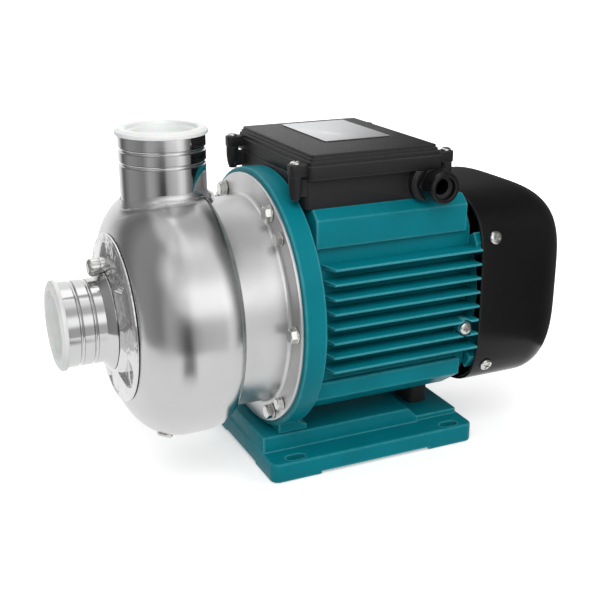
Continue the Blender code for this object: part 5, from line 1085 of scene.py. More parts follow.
class Workshop:
    """What every sub-assembly needs to make and hand over its pieces."""

    def __init__(self) -> None:
        """Makes the finishes and the Geometry Nodes trees."""
        self.palette = Palette()
        self.placing = placing_tree()
        self.fins = fin_tree()
        self.bead = bead_tree()

    def deliver(self, obj: Object, finish: Finish, nodes: Sequence[str] = (), body: Body = Body.PUMP,
                sharp: float = 32.0) -> None:
        """Shades a piece, gives it its finish and lets it ride on its body.

        Args:
            obj: The piece.
            finish: Its finish.
            nodes: The CAD nodes that it replaces.
            body: The body that it rides on.
            sharp: Edges that turn by more than this many degrees stay sharp.
        """
        mesh = obj.data
        mesh.materials.clear()
        mesh.materials.append(self.palette.of(finish))
        for polygon in mesh.polygons:
            polygon.material_index = 0
        mesh.shade_smooth()
        mesh.set_sharp_from_angle(angle=math.radians(sharp))
        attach(obj, body.value)
        if nodes:
            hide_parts(*nodes)
        log.info("%s: %d faces, replaces %d nodes", obj.name, len(mesh.polygons), len(nodes))

    def screws(self, name: str, shape: Object, spots: Sequence[Spot], nodes: Sequence[str],
               most_turn: float = 0.0, seed: int = 0) -> None:
        """Puts a screw at each spot and hands the row over as one plain mesh.

        Args:
            name: Name of the row.
            shape: The screw, whose +X points along the facing. It is removed afterwards.
            spots: Pairs of a point and a facing, in the row frame.
            nodes: The CAD nodes that the row replaces.
            most_turn: Largest turn about the facing, in radians.
            seed: Seed of the turns.
        """
        mesh = bpy.data.meshes.new(name)
        mesh.from_pydata([tuple(point) for point, _ in spots], [], [])
        facing = mesh.attributes.new("facing", "FLOAT_VECTOR", "POINT")
        for item, (_, direction) in zip(facing.data, spots):
            item.vector = direction
        row = in_scene(name, mesh)
        finish = self.palette.of(Finish.PLATED_SCREW)
        run_tree(row, self.placing, {"Shape": shape, "Most Turn": most_turn, "Seed": seed, "Finish": finish})
        bpy.data.objects.remove(shape)
        self.deliver(row, Finish.PLATED_SCREW, nodes)

    def weld(self, name: str, path: Sequence[Vector], radius: float, ripple: float) -> None:
        """Lays a weld bead along a closed path and hands it over.

        Args:
            name: Name of the bead.
            path: Points of the closed path, in the row frame.
            radius: Radius of the bead.
            ripple: Height of its unevenness.
        """
        mesh = bpy.data.meshes.new(name)
        count = len(path)
        mesh.from_pydata([tuple(p) for p in path], [(k, (k + 1) % count) for k in range(count)], [])
        bead = in_scene(name, mesh)
        finish = self.palette.of(Finish.WELD_METAL)
        run_tree(bead, self.bead, {"Radius": radius, "Ripple": ripple, "Finish": finish})
        self.deliver(bead, Finish.WELD_METAL, sharp=60.0)


# Screws


@dataclass(frozen=True)
class HexScrew:
    """A hexagon head screw with a collar. Its seat is X = 0 and its head is at +X."""

    thread: float
    flats: float
    collar: float
    length: float

    def shape(self) -> Object:
        """Shapes the screw at the origin.

        Returns:
            The screw.
        """
        rim = GAP + self.collar * 0.16
        top = rim + self.flats * 0.5
        bevel = self.flats * 0.10
        corner = self.flats / math.sqrt(3)
        head = as_object("screw", extruded(hexagon(self.flats), "X", rim * 0.5, top))
        dome = [(-rim, 0.0), (-rim, 2 * corner), (top - bevel, 2 * corner), (top - bevel, corner * 1.01)]
        dome += [(top, self.flats * 0.46), (top, 0.0)]
        carve(head, turned(dome, 48), how=Cut.KEEP)
        shank = [(-self.length, 0.0), (-self.length, self.thread), (GAP, self.thread)]
        shank += [(GAP, self.collar - GAP), (GAP * 1.6, self.collar)]
        shank += [(rim - GAP, self.collar), (rim, self.collar - GAP), (rim, 0.0)]
        return as_object("hex_screw", merged([mesh_of(head), turned(shank, 40)]))


@dataclass(frozen=True)
class PanScrew:
    """A round head screw with a cross recess. Its seat is X = 0 and its head is at +X."""

    head: float
    height: float
    thread: float
    length: float

    def shape(self) -> Object:
        """Shapes the screw at the origin.

        Returns:
            The screw.
        """
        low = self.height * 0.35
        outline = [(-self.length, 0.0), (-self.length, self.thread), (GAP, self.thread), (GAP, self.head)]
        outline += arc((low, self.head * 0.35), (self.height - low, self.head * 0.65), 90, 0, 8)
        outline += [(self.height, 0.0)]
        screw = as_object("pan_screw", turned(outline, 40))
        arm, width = self.head * 0.62, self.head * 0.13
        for along, across in ((arm, width), (width, arm)):
            cross = rounded_box(2 * along, 2 * across, width * 0.5, steps=2)
            carve(screw, extruded(cross, "X", self.height * 0.45, self.height * 2))
        return screw


def numbered(stem: str, count: int) -> list[str]:
    """Returns node names with the numbers from 1."""
    return [f"{stem}_{k + 1}" for k in range(count)]


# Wet end


@dataclass
class WetEnd:
    """The pressed casing with its ports, their caps, the plugs and the stiffening plate."""

    shop: Workshop
    wall: float = 0.0025
    flange_radius: float = 0.1024
    flange_rear: float = 0.0025
    barrel_radius: float = 0.0845
    barrel_fillet: float = 0.0030
    belly_radius: float = 0.0996
    front_x: float = -0.1128
    rear_x: float = -0.0380
    nose_axial: float = 0.0410
    nose_radial: float = 0.0450
    rear_axial: float = 0.0200
    rear_radial: float = 0.0105
    eye: float = 0.0265
    port_outer: float = 0.0330
    port_bore: float = 0.0285
    neck: float = 0.0355
    cone: float = 0.0385
    grooves: tuple[float, float] = (0.0150, 0.0255)
    suction_face: float = -0.1596
    outlet_x: float = -0.0680
    outlet_face: float = 0.2790
    throat: float = 0.0240
    cap_radius: float = 0.0350
    cap_rim: float = 0.0045
    plate_radius: float = 0.0660
    hub_radius: float = 0.0410
    plug_offset: float = 0.0425
    plug_radius: float = 0.0070
    plug_face: float = -0.1308
    drain_x: float = -0.0860
    drain_angle: float = 250.0
    rounds: int = 128

    def belly(self, inset: float, steps: int) -> Outline:
        """Returns the bowl's front corner, moved inwards."""
        centre = (self.front_x + self.nose_axial, self.belly_radius - self.nose_radial)
        return arc(centre, (self.nose_axial - inset, self.nose_radial - inset), 180, 90, steps)

    def rear(self, inset: float, steps: int, last: float = 0.0) -> Outline:
        """Returns the bowl's rear corner, moved inwards."""
        centre = (self.rear_x - self.rear_axial, self.belly_radius - self.rear_radial)
        return arc(centre, (self.rear_axial - inset, self.rear_radial - inset), 90, last, steps)

    def radius_at(self, x: float) -> float:
        """Radius of the bowl's outside, carried on behind its rear corner.

        Args:
            x: Place along the shaft.

        Returns:
            The radius.
        """
        nose = self.front_x + self.nose_axial
        edge = self.rear_x - self.rear_axial
        if x < nose:
            share = min((nose - x) / self.nose_axial, 1.0)
            return self.belly_radius - self.nose_radial * (1 - math.sqrt(1 - share * share))
        share = min(max((x - edge) / self.rear_axial, 0.0), math.sin(math.radians(75)))
        return self.belly_radius - self.rear_radial * (1 - math.sqrt(1 - share * share))

    def drain_place(self) -> Matrix:
        """Finds the place of the drain plug.

        Returns:
            The place, whose +X leaves the bowl.
        """
        step = 0.0005
        slope = (self.radius_at(self.drain_x + step) - self.radius_at(self.drain_x - step)) / (2 * step)
        tilt = math.atan(slope)
        y, z = polar(1.0, self.drain_angle)
        radius = self.radius_at(self.drain_x)
        outward = Vector((-math.sin(tilt), math.cos(tilt) * y, math.cos(tilt) * z))
        seat = Matrix.Translation((self.drain_x, radius * y, radius * z))
        return SHAFT_LINE @ seat @ ALONG.rotation_difference(outward).to_matrix().to_4x4()

    def build(self) -> None:
        """Makes and dresses every piece."""
        self.casing()
        self.stiffening_plate()
        self.suction_port()
        self.outlet()
        self.caps()
        self.plugs()

    def casing(self) -> None:
        """The bowl, barrel and flange in one pressing, with its holes."""
        wall, lip = self.wall, 0.0009
        outline = [(self.front_x, self.eye)] + self.belly(0.0, 30) + self.rear(0.0, 16)
        outline += arc((self.rear_x + 0.0012, self.barrel_radius + 0.0012), (0.0012, 0.0012), 180, 270, 4)
        corner = (-self.barrel_fillet, self.barrel_radius + self.barrel_fillet)
        outline += arc(corner, (self.barrel_fillet, self.barrel_fillet), 270, 360, 8)
        outline += arc((lip, self.flange_radius - lip), (lip, lip), 180, 90, 4)
        outline += [(self.flange_rear, self.flange_radius), (self.flange_rear, self.barrel_radius - wall)]
        outline += [(self.rear_x - wall, self.barrel_radius - wall)]
        outline += list(reversed(self.rear(wall, 6))) + list(reversed(self.belly(wall, 14)))
        outline += [(self.front_x + wall, self.eye)]
        casing = as_object("casing_shell", turned(outline, self.rounds), SHAFT_LINE)
        mouth = Vector((self.outlet_x, 0, 0))
        holes = [rod(self.throat, 0.8 * self.barrel_radius, 1.2 * self.belly_radius, UP, mouth, 64),
                 rod(0.0047, -0.006, 0.008, ALONG, Vector((self.front_x, 0, self.plug_offset)), 24)]
        carve(casing, merged(holes + screw_holes(-0.003, 0.005)), SHAFT_LINE)
        hole = [(-0.010, 0.0), (-0.010, 0.0041), (0.005, 0.0041), (0.005, 0.0)]
        carve(casing, turned(hole, 24), self.drain_place())
        self.shop.deliver(casing, Finish.PRESSED_STEEL, ["pump_casing"])

    def pocket(self, middle: float) -> BMesh:
        """Returns the cutter of one pocket between two pads, with sloping walls.

        Args:
            middle: Its angle, in degrees.

        Returns:
            A closed mesh in the shaft frame.
        """
        corners = [(0.0450, -16.0), (0.0450, 16.0), (0.0580, 13.5), (0.0622, 7.0), (0.0622, -7.0)]
        corners += [(0.0580, -13.5)]
        points = [polar(radius, middle + turn) for radius, turn in corners]
        bm = extruded(soften(points, 0.0034, 5, 20.0), "X", self.front_x - 0.0085, self.front_x - 0.0011)
        centre = Vector((0, *polar(0.0535, middle)))
        flare = 1.42
        for vert in bm.verts:
            if vert.co.x < self.front_x - 0.0080:
                vert.co.y = centre.y + (vert.co.y - centre.y) * flare
                vert.co.z = centre.z + (vert.co.z - centre.z) * flare
        return bm

    def stiffening_plate(self) -> None:
        """The dished plate with six pads and the pockets between them, in front of the bowl."""
        rear = self.front_x - GAP
        rim = rear - 0.0009
        hub = rear - 0.0062
        edge = self.plate_radius
        outline = [(rear, self.neck + GAP), (hub, self.neck + GAP), (hub, self.hub_radius)]
        outline += [(rear - 0.0014, edge - 0.0038), (rim, edge - 0.0030), (rim, edge - 0.0024)]
        outline += [(rim + 0.0003, edge - 0.0021), (rim, edge - 0.0017), (rim, edge - 0.0009)]
        outline += [(rim + 0.0006, edge - 0.0001), (rear + 0.0011, edge), (rear + 0.0009, edge - 0.0008)]
        outline += [(rear, edge - 0.0024)]
        section = soften(outline, 0.0012, 4, 12.0)
        plate = as_object("stiffening_plate", turned(section, self.rounds), SHAFT_LINE)
        for k in range(6):
            carve(plate, self.pocket(93.0 + 60.0 * k), SHAFT_LINE)
        carve(plate, self.plug_room(rear, -0.009), SHAFT_LINE)
        round_edges(plate, 0.0007, 3, 24.0)
        self.shop.deliver(plate, Finish.STAMPED_STEEL, ["star_plate"], sharp=40.0)

    def plug_room(self, x: float, start: float) -> BMesh:
        """Returns the room of the filling plug's head, from a start counted from a place along the shaft."""
        return rod(self.plug_radius + 0.0005, start, 0.003, ALONG, Vector((x, 0, self.plug_offset)), 40)

    def groove(self, along: float) -> Outline:
        """Returns a round groove in the outside of a port."""
        return arc((along, self.port_outer + 0.0002), (0.0017, 0.0015), 187, 353, 12)

    def suction_port(self) -> None:
        """The threaded inlet with its skirt."""
        rear = self.front_x - GAP
        rim = self.suction_face + self.cap_rim + GAP
        outline = [(rim, self.port_bore), (rim, self.port_outer)]
        for along in self.grooves:
            outline += self.groove(self.suction_face + along)
        cone = self.cone
        outline += [(-0.1260, self.port_outer), (-0.1247, self.port_outer + 0.0010), (-0.1218, cone - 0.0005)]
        outline += [(-0.1204, cone + 0.0012), (-0.1198, cone + 0.0014), (-0.1196, cone + 0.0012)]
        outline += [(-0.1196, self.neck), (rear, self.neck), (rear, self.eye)]
        outline += [(-0.1205, self.eye), (-0.1205, self.port_bore)]
        port = as_object("suction_port", turned(outline, self.rounds), SHAFT_LINE)
        carve(port, self.plug_room(self.front_x, -0.020), SHAFT_LINE)
        self.shop.deliver(port, Finish.TURNED_STEEL, ["suction_nozzle"])

    def outlet(self) -> None:
        """The upright threaded outlet, cut to the bowl, and the weld round it."""
        low = SHAFT_HEIGHT + 0.8 * self.belly_radius
        rim = self.outlet_face - self.cap_rim - GAP
        outline = [(low, self.port_bore), (low, self.port_outer)]
        for along in reversed(self.grooves):
            outline += self.groove(self.outlet_face - along)
        outline += [(rim, self.port_outer), (rim, self.port_bore)]
        place = Matrix.Translation((FRAME_SHIFT + self.outlet_x, 0, 0)) @ UPWARD
        port = as_object("outlet_port", turned(outline, self.rounds), place)
        bowl = [(self.front_x - GAP, 0.0)] + self.belly(-GAP, 30) + self.rear(-GAP, 12, 15.0)
        behind = self.rear_x + self.port_outer
        bowl += [(behind, bowl[-1][1]), (behind, 0.0)]
        carve(port, turned(bowl, self.rounds), SHAFT_LINE)
        self.shop.deliver(port, Finish.UPRIGHT_STEEL, ["discharge_nozzle"])

        self.shop.deliver(self.blend(0.0056), Finish.PRESSED_STEEL, sharp=60.0)
        lift, radius = Vector((0, 0, 0.0007)), self.port_outer + 0.0013
        path = [SHAFT_LINE @ (self.on_bowl(2 * math.pi * k / 180, radius) + lift) for k in range(180)]
        self.shop.weld("outlet_weld", path, 0.0007, 0.0010)

    def on_bowl(self, angle: float, radius: float) -> Vector:
        """Finds a point of the bowl round the outlet.

        Args:
            angle: Angle round the outlet's axis.
            radius: Distance from that axis.

        Returns:
            The point.
        """
        x = self.outlet_x + radius * math.cos(angle)
        y = radius * math.sin(angle)
        return Vector((x, y, math.sqrt(self.radius_at(x) ** 2 - y * y)))

    def blend(self, reach: float) -> Object:
        """Makes the ground weld that leads the outlet into the bowl in a hollow curve.

        Args:
            reach: How far it goes up the outlet and out over the bowl.

        Returns:
            The piece.
        """
        bm = bmesh.new()
        loops = []
        for k in range(160):
            angle = 2 * math.pi * k / 160
            foot = self.on_bowl(angle, self.port_outer + 0.0002)
            high = foot + Vector((0, 0, reach))
            low = self.on_bowl(angle, self.port_outer + reach) + Vector((0, 0, 0.0001))
            inner = self.on_bowl(angle, self.port_outer - 0.0010) - Vector((0, 0, 0.0010))
            section = [inner]
            for step in range(9):
                t = step / 8
                section.append(high * (1 - t) ** 2 + foot * (2 * t * (1 - t)) + low * t ** 2)
            loops.append([bm.verts.new(point) for point in section])
        for first, second in zip(loops, loops[1:] + loops[:1]):
            bridge(bm, first, second)
        bmesh.ops.recalc_face_normals(bm, faces=bm.faces)
        return as_object("outlet_blend", bm, SHAFT_LINE)

    def cap_outline(self) -> Outline:
        """Draws a cap.

        Returns:
            Half its section, from its outer face into the port.
        """
        plug = self.port_bore - GAP
        dish = plug - 0.0020
        deep = self.cap_rim + 0.0120
        floor, edge = 0.0070, self.cap_radius
        outline = [(floor, 0.0), (floor, dish - 0.0048), (0.0034, dish - 0.0022), (0.0026, dish)]
        outline += [(0.0, dish + 0.0012), (0.0, edge - 0.0026), (0.0007, edge - 0.0022)]
        outline += [(0.0007, edge - 0.0016), (0.0016, edge)]
        outline += [(self.cap_rim, edge), (self.cap_rim, plug), (deep, plug), (deep, dish)]
        outline += [(floor + 0.0020, dish), (floor + 0.0020, 0.0)]
        return soften(outline, 0.0007, 3)

    def caps(self) -> None:
        """The two thread protectors, each on its own body."""
        inlet = Matrix.Translation((FRAME_SHIFT + self.suction_face, 0, SHAFT_HEIGHT))
        top = Matrix.Translation((FRAME_SHIFT + self.outlet_x, 0, self.outlet_face)) @ DOWNWARD
        rows = (("suction_cap", inlet, Body.SUCTION_CAP), ("discharge_cap", top, Body.DISCHARGE_CAP))
        for name, place, body in rows:
            cap = as_object(f"{name}_moulding", turned(self.cap_outline(), 112), place)
            self.shop.deliver(cap, Finish.MILKY_WHITE, [name], body)

    def plugs(self) -> None:
        """The filling plug in front and the drain plug underneath."""
        face, seat = self.plug_face, self.front_x - GAP
        head = face + 0.0076
        dome = arc((face + 0.0030, self.plug_radius - 0.0034), (0.0030, 0.0034), 180, 90, 12)
        outline = [(face, 0.0)] + dome
        waist, inside = self.plug_radius - 0.0006, self.front_x + 0.005
        outline += [(head, self.plug_radius), (head + 0.0004, waist), (head + 0.0012, waist)]
        outline += [(head + 0.0016, self.plug_radius), (seat, self.plug_radius)]
        outline += [(seat, 0.0042), (inside, 0.0042), (inside, 0.0)]
        place = SHAFT_LINE @ Matrix.Translation((0, 0, self.plug_offset))
        plug = as_object("filling_plug_body", turned(outline, 72), place)
        slot = rounded_box(0.0012, 0.0090, 0.0003, steps=2)
        carve(plug, extruded(slot, "X", face - 0.002, face + 0.0016), place)
        self.shop.deliver(plug, Finish.PLATED_SCREW, ["filling_plug"])

        outline = [(-0.0050, 0.0), (-0.0050, 0.0036), (-0.0010, 0.0036), (-0.0010, 0.0066)]
        outline += arc((0.0002, 0.0042), (0.0022, 0.0024), 90, 0, 8) + [(0.0024, 0.0)]
        drain = as_object("drain_plug_body", turned(outline, 48), self.drain_place())
        carve(drain, extruded(hexagon(0.0050), "X", 0.0008, 0.0060), self.drain_place())
        self.shop.deliver(drain, Finish.PLATED_SCREW, ["drain_plug"])


@dataclass
class FlangeScrews:
    """The screws through the casing's flange."""

    shop: Workshop
    length: float = 0.0143
    wide: tuple[float, float, float] = (0.0030, 0.0100, 0.0064)
    small: tuple[float, float, float] = (0.0025, 0.0085, 0.0052)

    def build(self) -> None:
        """Places six wide and four small screws."""
        forward = Vector((-1.0, 0.0, 0.0))
        for (stem, count, first, _), size, seed in zip(SCREW_ROWS, (self.wide, self.small), (3, 8)):
            shape = HexScrew(*size, self.length).shape()
            spots = [(SHAFT_LINE @ point, forward) for point in screw_points(count, first)]
            self.shop.screws(f"{stem}s", shape, spots, numbered(stem, count), math.pi / 3, seed)


# Motor


@dataclass
class MotorBracket:
    """The cast disc between the pump and the motor, with its neck down to the foot."""

    shop: Workshop
    front: float = 0.0028
    rear: float = 0.0200
    radius: float = 0.1065
    edge: float = 0.0015
    recess: float = 0.0878
    recess_x: float = 0.0056
    spigot: float = 0.0617
    neck_half: float = 0.0470
    neck_rear: float = 0.0310
    foot_z: float = -0.1041
    sole_z: float = -0.0991
    neck_top: float = -0.0783

    def disc(self) -> Object:
        """Turns the disc.

        Returns:
            The disc with its web and bearing hub.
        """
        edge, spigot, lip = self.edge, self.spigot, self.rear + 0.0050
        outline = [(self.recess_x, 0.0120), (self.recess_x, self.recess), (self.front, self.recess)]
        outline += arc((self.front + edge, self.radius - edge), (edge, edge), 180, 90, 6)
        outline += arc((self.rear - edge, self.radius - edge), (edge, edge), 90, 0, 6)
        outline += [(self.rear, spigot), (lip, spigot), (lip, spigot - 0.0047)]
        outline += [(0.0156, spigot - 0.0047), (0.0156, 0.0330), (0.0380, 0.0330), (0.0380, 0.0238)]
        outline += [(0.0237, 0.0238), (0.0237, 0.0120)]
        return as_object("bracket_casting", turned(outline, 120), SHAFT_LINE)

    def build(self) -> None:
        """Joins the disc and its neck, and cuts the flat and the holes."""
        bracket = self.disc()
        outline = [(0.0059, self.foot_z), (self.neck_rear, self.foot_z)]
        outline += arc((self.neck_rear, self.neck_top), (0.0110, self.neck_top - self.sole_z), 270, 180, 14)
        outline += [(0.0185, self.neck_top), (0.0059, self.neck_top)]
        neck = as_object("neck", extruded(outline, "Y", -self.neck_half, self.neck_half), SHAFT_LINE)
        round_edges(neck, 0.0012, 3, 40.0)
        combine(bracket, neck)
        under = [(-0.02, -0.2), (0.06, -0.2), (0.06, self.foot_z), (-0.02, self.foot_z)]
        carve(bracket, extruded(under, "Y", -0.2, 0.2), SHAFT_LINE)
        holes = screw_holes(-0.0025, 0.0168) + foot_screw_holes(self.foot_z - 0.0025, -0.0867)
        carve(bracket, merged(holes), SHAFT_LINE)
        self.shop.deliver(bracket, Finish.CAST_PAINT, ["motor_bracket"])


@dataclass
class Foot:
    """The cast foot with its deck, pads and slots, and the block under the motor."""

    shop: Workshop
    front: float = -0.0105
    rear: float = 0.1775
    half: float = 0.0726
    plate: float = 0.0164
    corner: float = 0.0070
    deck_half: float = 0.0500
    deck_z: float = 0.0298
    deck_end: float = 0.1270
    slope: float = 0.0085
    draft: float = 0.0015
    step_half: float = 0.0480
    step_z: float = 0.0206
    pad_height: float = 0.0028
    pad_length: float = 0.0430
    pad_width: float = 0.0377
    slot_x: tuple[float, float] = (0.0125, 0.1570)
    slot_y: float = 0.0644

    def build(self) -> None:
        """Makes the foot and the rear block."""
        foot = self.casting()
        middle = ((self.front + self.rear) / 2, 0.0)
        length = self.rear - self.front
        across = rounded_box(length - 2 * self.pad_length, 0.2, 0.003, middle, 3)
        along = rounded_box(0.3, 2 * (self.half - self.pad_width), 0.003, middle, 3)
        for box in (across, along):
            carve(foot, extruded(box, "Z", -0.01, self.pad_height), ORIGIN)
        pocket = rounded_box(0.1650, 0.0640, self.corner, (0.0835, 0.0), 6)
        carve(foot, extruded(pocket, "Z", -0.01, 0.0110), ORIGIN)
        holes = []
        for x in self.slot_x:
            for side in (-1, 1):
                slot = rounded_box(0.0170, 0.0090, 0.00449, (x, side * self.slot_y), 8)
                holes.append(extruded(slot, "Z", -0.01, 0.04))
        carve(foot, merged(holes + foot_screw_holes(0.0, 0.06)), ORIGIN)
        self.shop.deliver(foot, Finish.CAST_PAINT, ["cast_foot"])
        self.block()

    def casting(self) -> Object:
        """Shapes the casting.

        Returns:
            The plate, step and deck in one.
        """
        length = self.rear - self.front
        plate = rounded_box(length, 2 * self.half, self.corner, ((self.front + self.rear) / 2, 0.0), 8)
        foot = as_object("foot_casting", extruded(plate, "Z", 0.0, self.plate), ORIGIN)
        round_edges(foot, 0.0016, 3, 40.0)
        low = self.plate / 2
        step = rounded_box(self.rear - self.deck_end - 0.0032, 2 * self.step_half, 0.0030,
                           ((self.rear + self.deck_end) / 2, 0.0), 4)
        step = as_object("step", extruded(step, "Z", low, self.step_z), ORIGIN)
        round_edges(step, 0.0012, 3, 40.0)
        combine(foot, step)
        first, last = self.front + 0.0016, self.deck_end + self.slope
        outline = [(first, low), (last, low), (last, self.step_z)]
        outline += [(self.deck_end, self.deck_z), (first, self.deck_z)]
        bm = extruded(outline, "Y", -self.deck_half, self.deck_half)
        for vert in bm.verts:
            if vert.co.z > self.deck_z - 1e-6:
                vert.co.y -= math.copysign(self.draft, vert.co.y)
        deck = as_object("deck", bm, ORIGIN)
        round_edges(deck, 0.0014, 3, 25.0)
        combine(foot, deck)
        return foot

    def block(self) -> None:
        """The block that carries the rear of the motor."""
        outline = rounded_box(0.0180, 0.0480, 0.0040, (0.1510, 0.0), 6)
        block = as_object("support_block", extruded(outline, "Z", self.step_z + GAP, 0.0499), ORIGIN)
        round_edges(block, 0.0008, 2, 40.0)
        # Painted shade: the block is given black rubber because it lies in the shade under the motor.
        self.shop.deliver(block, Finish.RUBBER, ["rear_support"])


@dataclass
class MotorHousing:
    """The finned housing with its shoulders and the earth screw."""

    shop: Workshop
    front: float = 0.0203
    rear: float = 0.1660
    half: float = 0.0720
    side: float = 0.0685
    corner: float = 0.0180
    bore: float = 0.0620
    shoulder: tuple[float, float] = (0.0260, 0.1590)
    shoulder_y: float = 0.0740
    top_z: float = 0.0860
    top_half: float = 0.0660
    high_z: float = 0.0790
    low_z: float = 0.0565
    skirt: tuple[float, float] = (-0.0530, -0.0670)
    below_z: float = -0.0840
    below_half: float = 0.0500
    fins: int = 8
    pitch: float = (0.0565 + 0.0530) / 9.2
    fin_tip: float = 0.0840
    fin_start: float = 0.0320
    fin_end: float = 0.1690
    fin_thick: float = 0.0028
    earth_x: float = 0.1575
    earth_face: float = 0.0810

    def build(self) -> None:
        """Makes the shell, its fins and the earth screw."""
        shell = self.shell()
        self.shop.deliver(shell, Finish.HOUSING_PAINT, ["motor_housing"])
        fins = self.fin_rows()
        self.shop.deliver(fins, Finish.HOUSING_PAINT)
        self.earth_screw()

    def earth_point(self) -> Vector:
        """Returns the middle of the earth boss, on the plane Y = 0 of the shaft frame."""
        return Vector((self.earth_x, 0, -2 * self.pitch))

    def shell(self) -> Object:
        """Shapes the housing's core.

        Returns:
            The core with its shoulders, skirt and earth boss, bored through.
        """
        section = rounded_box(2 * self.side, 2 * self.half, self.corner, steps=12)
        core = as_object("housing_shell", extruded(section, "X", self.front, self.rear), SHAFT_LINE)
        round_edges(core, 0.0012, 3, 40.0)
        inner = self.half - self.corner
        near = [(-self.top_half, self.top_z), (-self.shoulder_y, self.high_z), (-self.shoulder_y, self.low_z)]
        near += [(-inner, self.low_z), (-inner, self.skirt[0]), (-self.shoulder_y, self.skirt[0])]
        near += [(-self.shoulder_y, self.skirt[1]), (-self.below_half, self.below_z)]
        outline = near + [(-y, z) for y, z in reversed(near)]
        frame = as_object("shoulders", extruded(soften(outline, 0.0022, 6), "X", *self.shoulder), SHAFT_LINE)
        round_edges(frame, 0.0014, 4, 50.0)
        combine(core, frame)
        boss = rod(0.0060, 0.90 * self.half, self.earth_face, NEAR, self.earth_point(), 40)
        carve(core, boss, SHAFT_LINE, Cut.ADD)
        carve(core, rod(self.bore, -0.01, 0.18, ALONG, Vector((self.front, 0, 0)), 112), SHAFT_LINE)
        holes = [rod(0.0025, 0.0715, 0.2, NEAR, self.earth_point(), 20), wire_hole(0.0500, 0.0950)]
        carve(core, merged(holes), SHAFT_LINE)
        return core

    def fin(self) -> Object:
        """Shapes one fin.

        Returns:
            The fin on the far side, with a round tip and a slanting front end.
        """
        root = self.half - 2 * self.fin_thick
        tip, edge = self.fin_tip, 0.4 * self.fin_thick
        outline = [(root, -0.7 * self.fin_thick), (tip - 0.0009, -edge), (tip - 0.0002, -0.6 * edge)]
        outline += [(tip, 0.0), (tip - 0.0002, 0.6 * edge), (tip - 0.0009, edge)]
        outline += [(root, 0.7 * self.fin_thick)]
        bm = extruded(outline, "X", self.fin_start, self.fin_end)
        for vert in bm.verts:
            if vert.co.x < self.fin_start + 1e-6:
                vert.co.x += 0.35 * max(vert.co.y - self.side, 0.0)
            elif vert.co.y < self.half:
                vert.co.x = self.rear - 0.0004
        fin = as_object("fin", bm)
        round_edges(fin, 0.0003, 2, 60.0)
        return fin

    def fin_rows(self) -> Object:
        """Stacks the fins.

        Returns:
            The fins of both sides, cut free round the earth boss.
        """
        bm = bmesh.new()
        bm.verts.new((0, 0, 0))
        rows = as_object("cooling_fins", bm)
        values = {"Fin": self.fin(), "Count": self.fins, "Pitch": (0.0, 0.0, self.pitch),
                  "Lowest": (0.0, 0.0, -self.pitch * (self.fins - 1) / 2),
                  "Place": tuple(SHAFT_LINE.translation),
                  "Finish": self.shop.palette.of(Finish.HOUSING_PAINT)}
        run_tree(rows, self.shop.fins, values)
        bpy.data.objects.remove(values["Fin"])
        carve(rows, rod(0.0072, 0.0730, 0.2, NEAR, self.earth_point(), 40), SHAFT_LINE)
        return rows

    def earth_screw(self) -> None:
        """The bright earth screw on its boss."""
        shape = PanScrew(0.0055, 0.0032, 0.0020, 0.0073).shape()
        point = SHAFT_LINE @ (self.earth_point() + Vector((0, -self.earth_face, 0)))
        self.shop.screws("earth_screw_head", shape, [(point, NEAR)], ["earth_screw"])


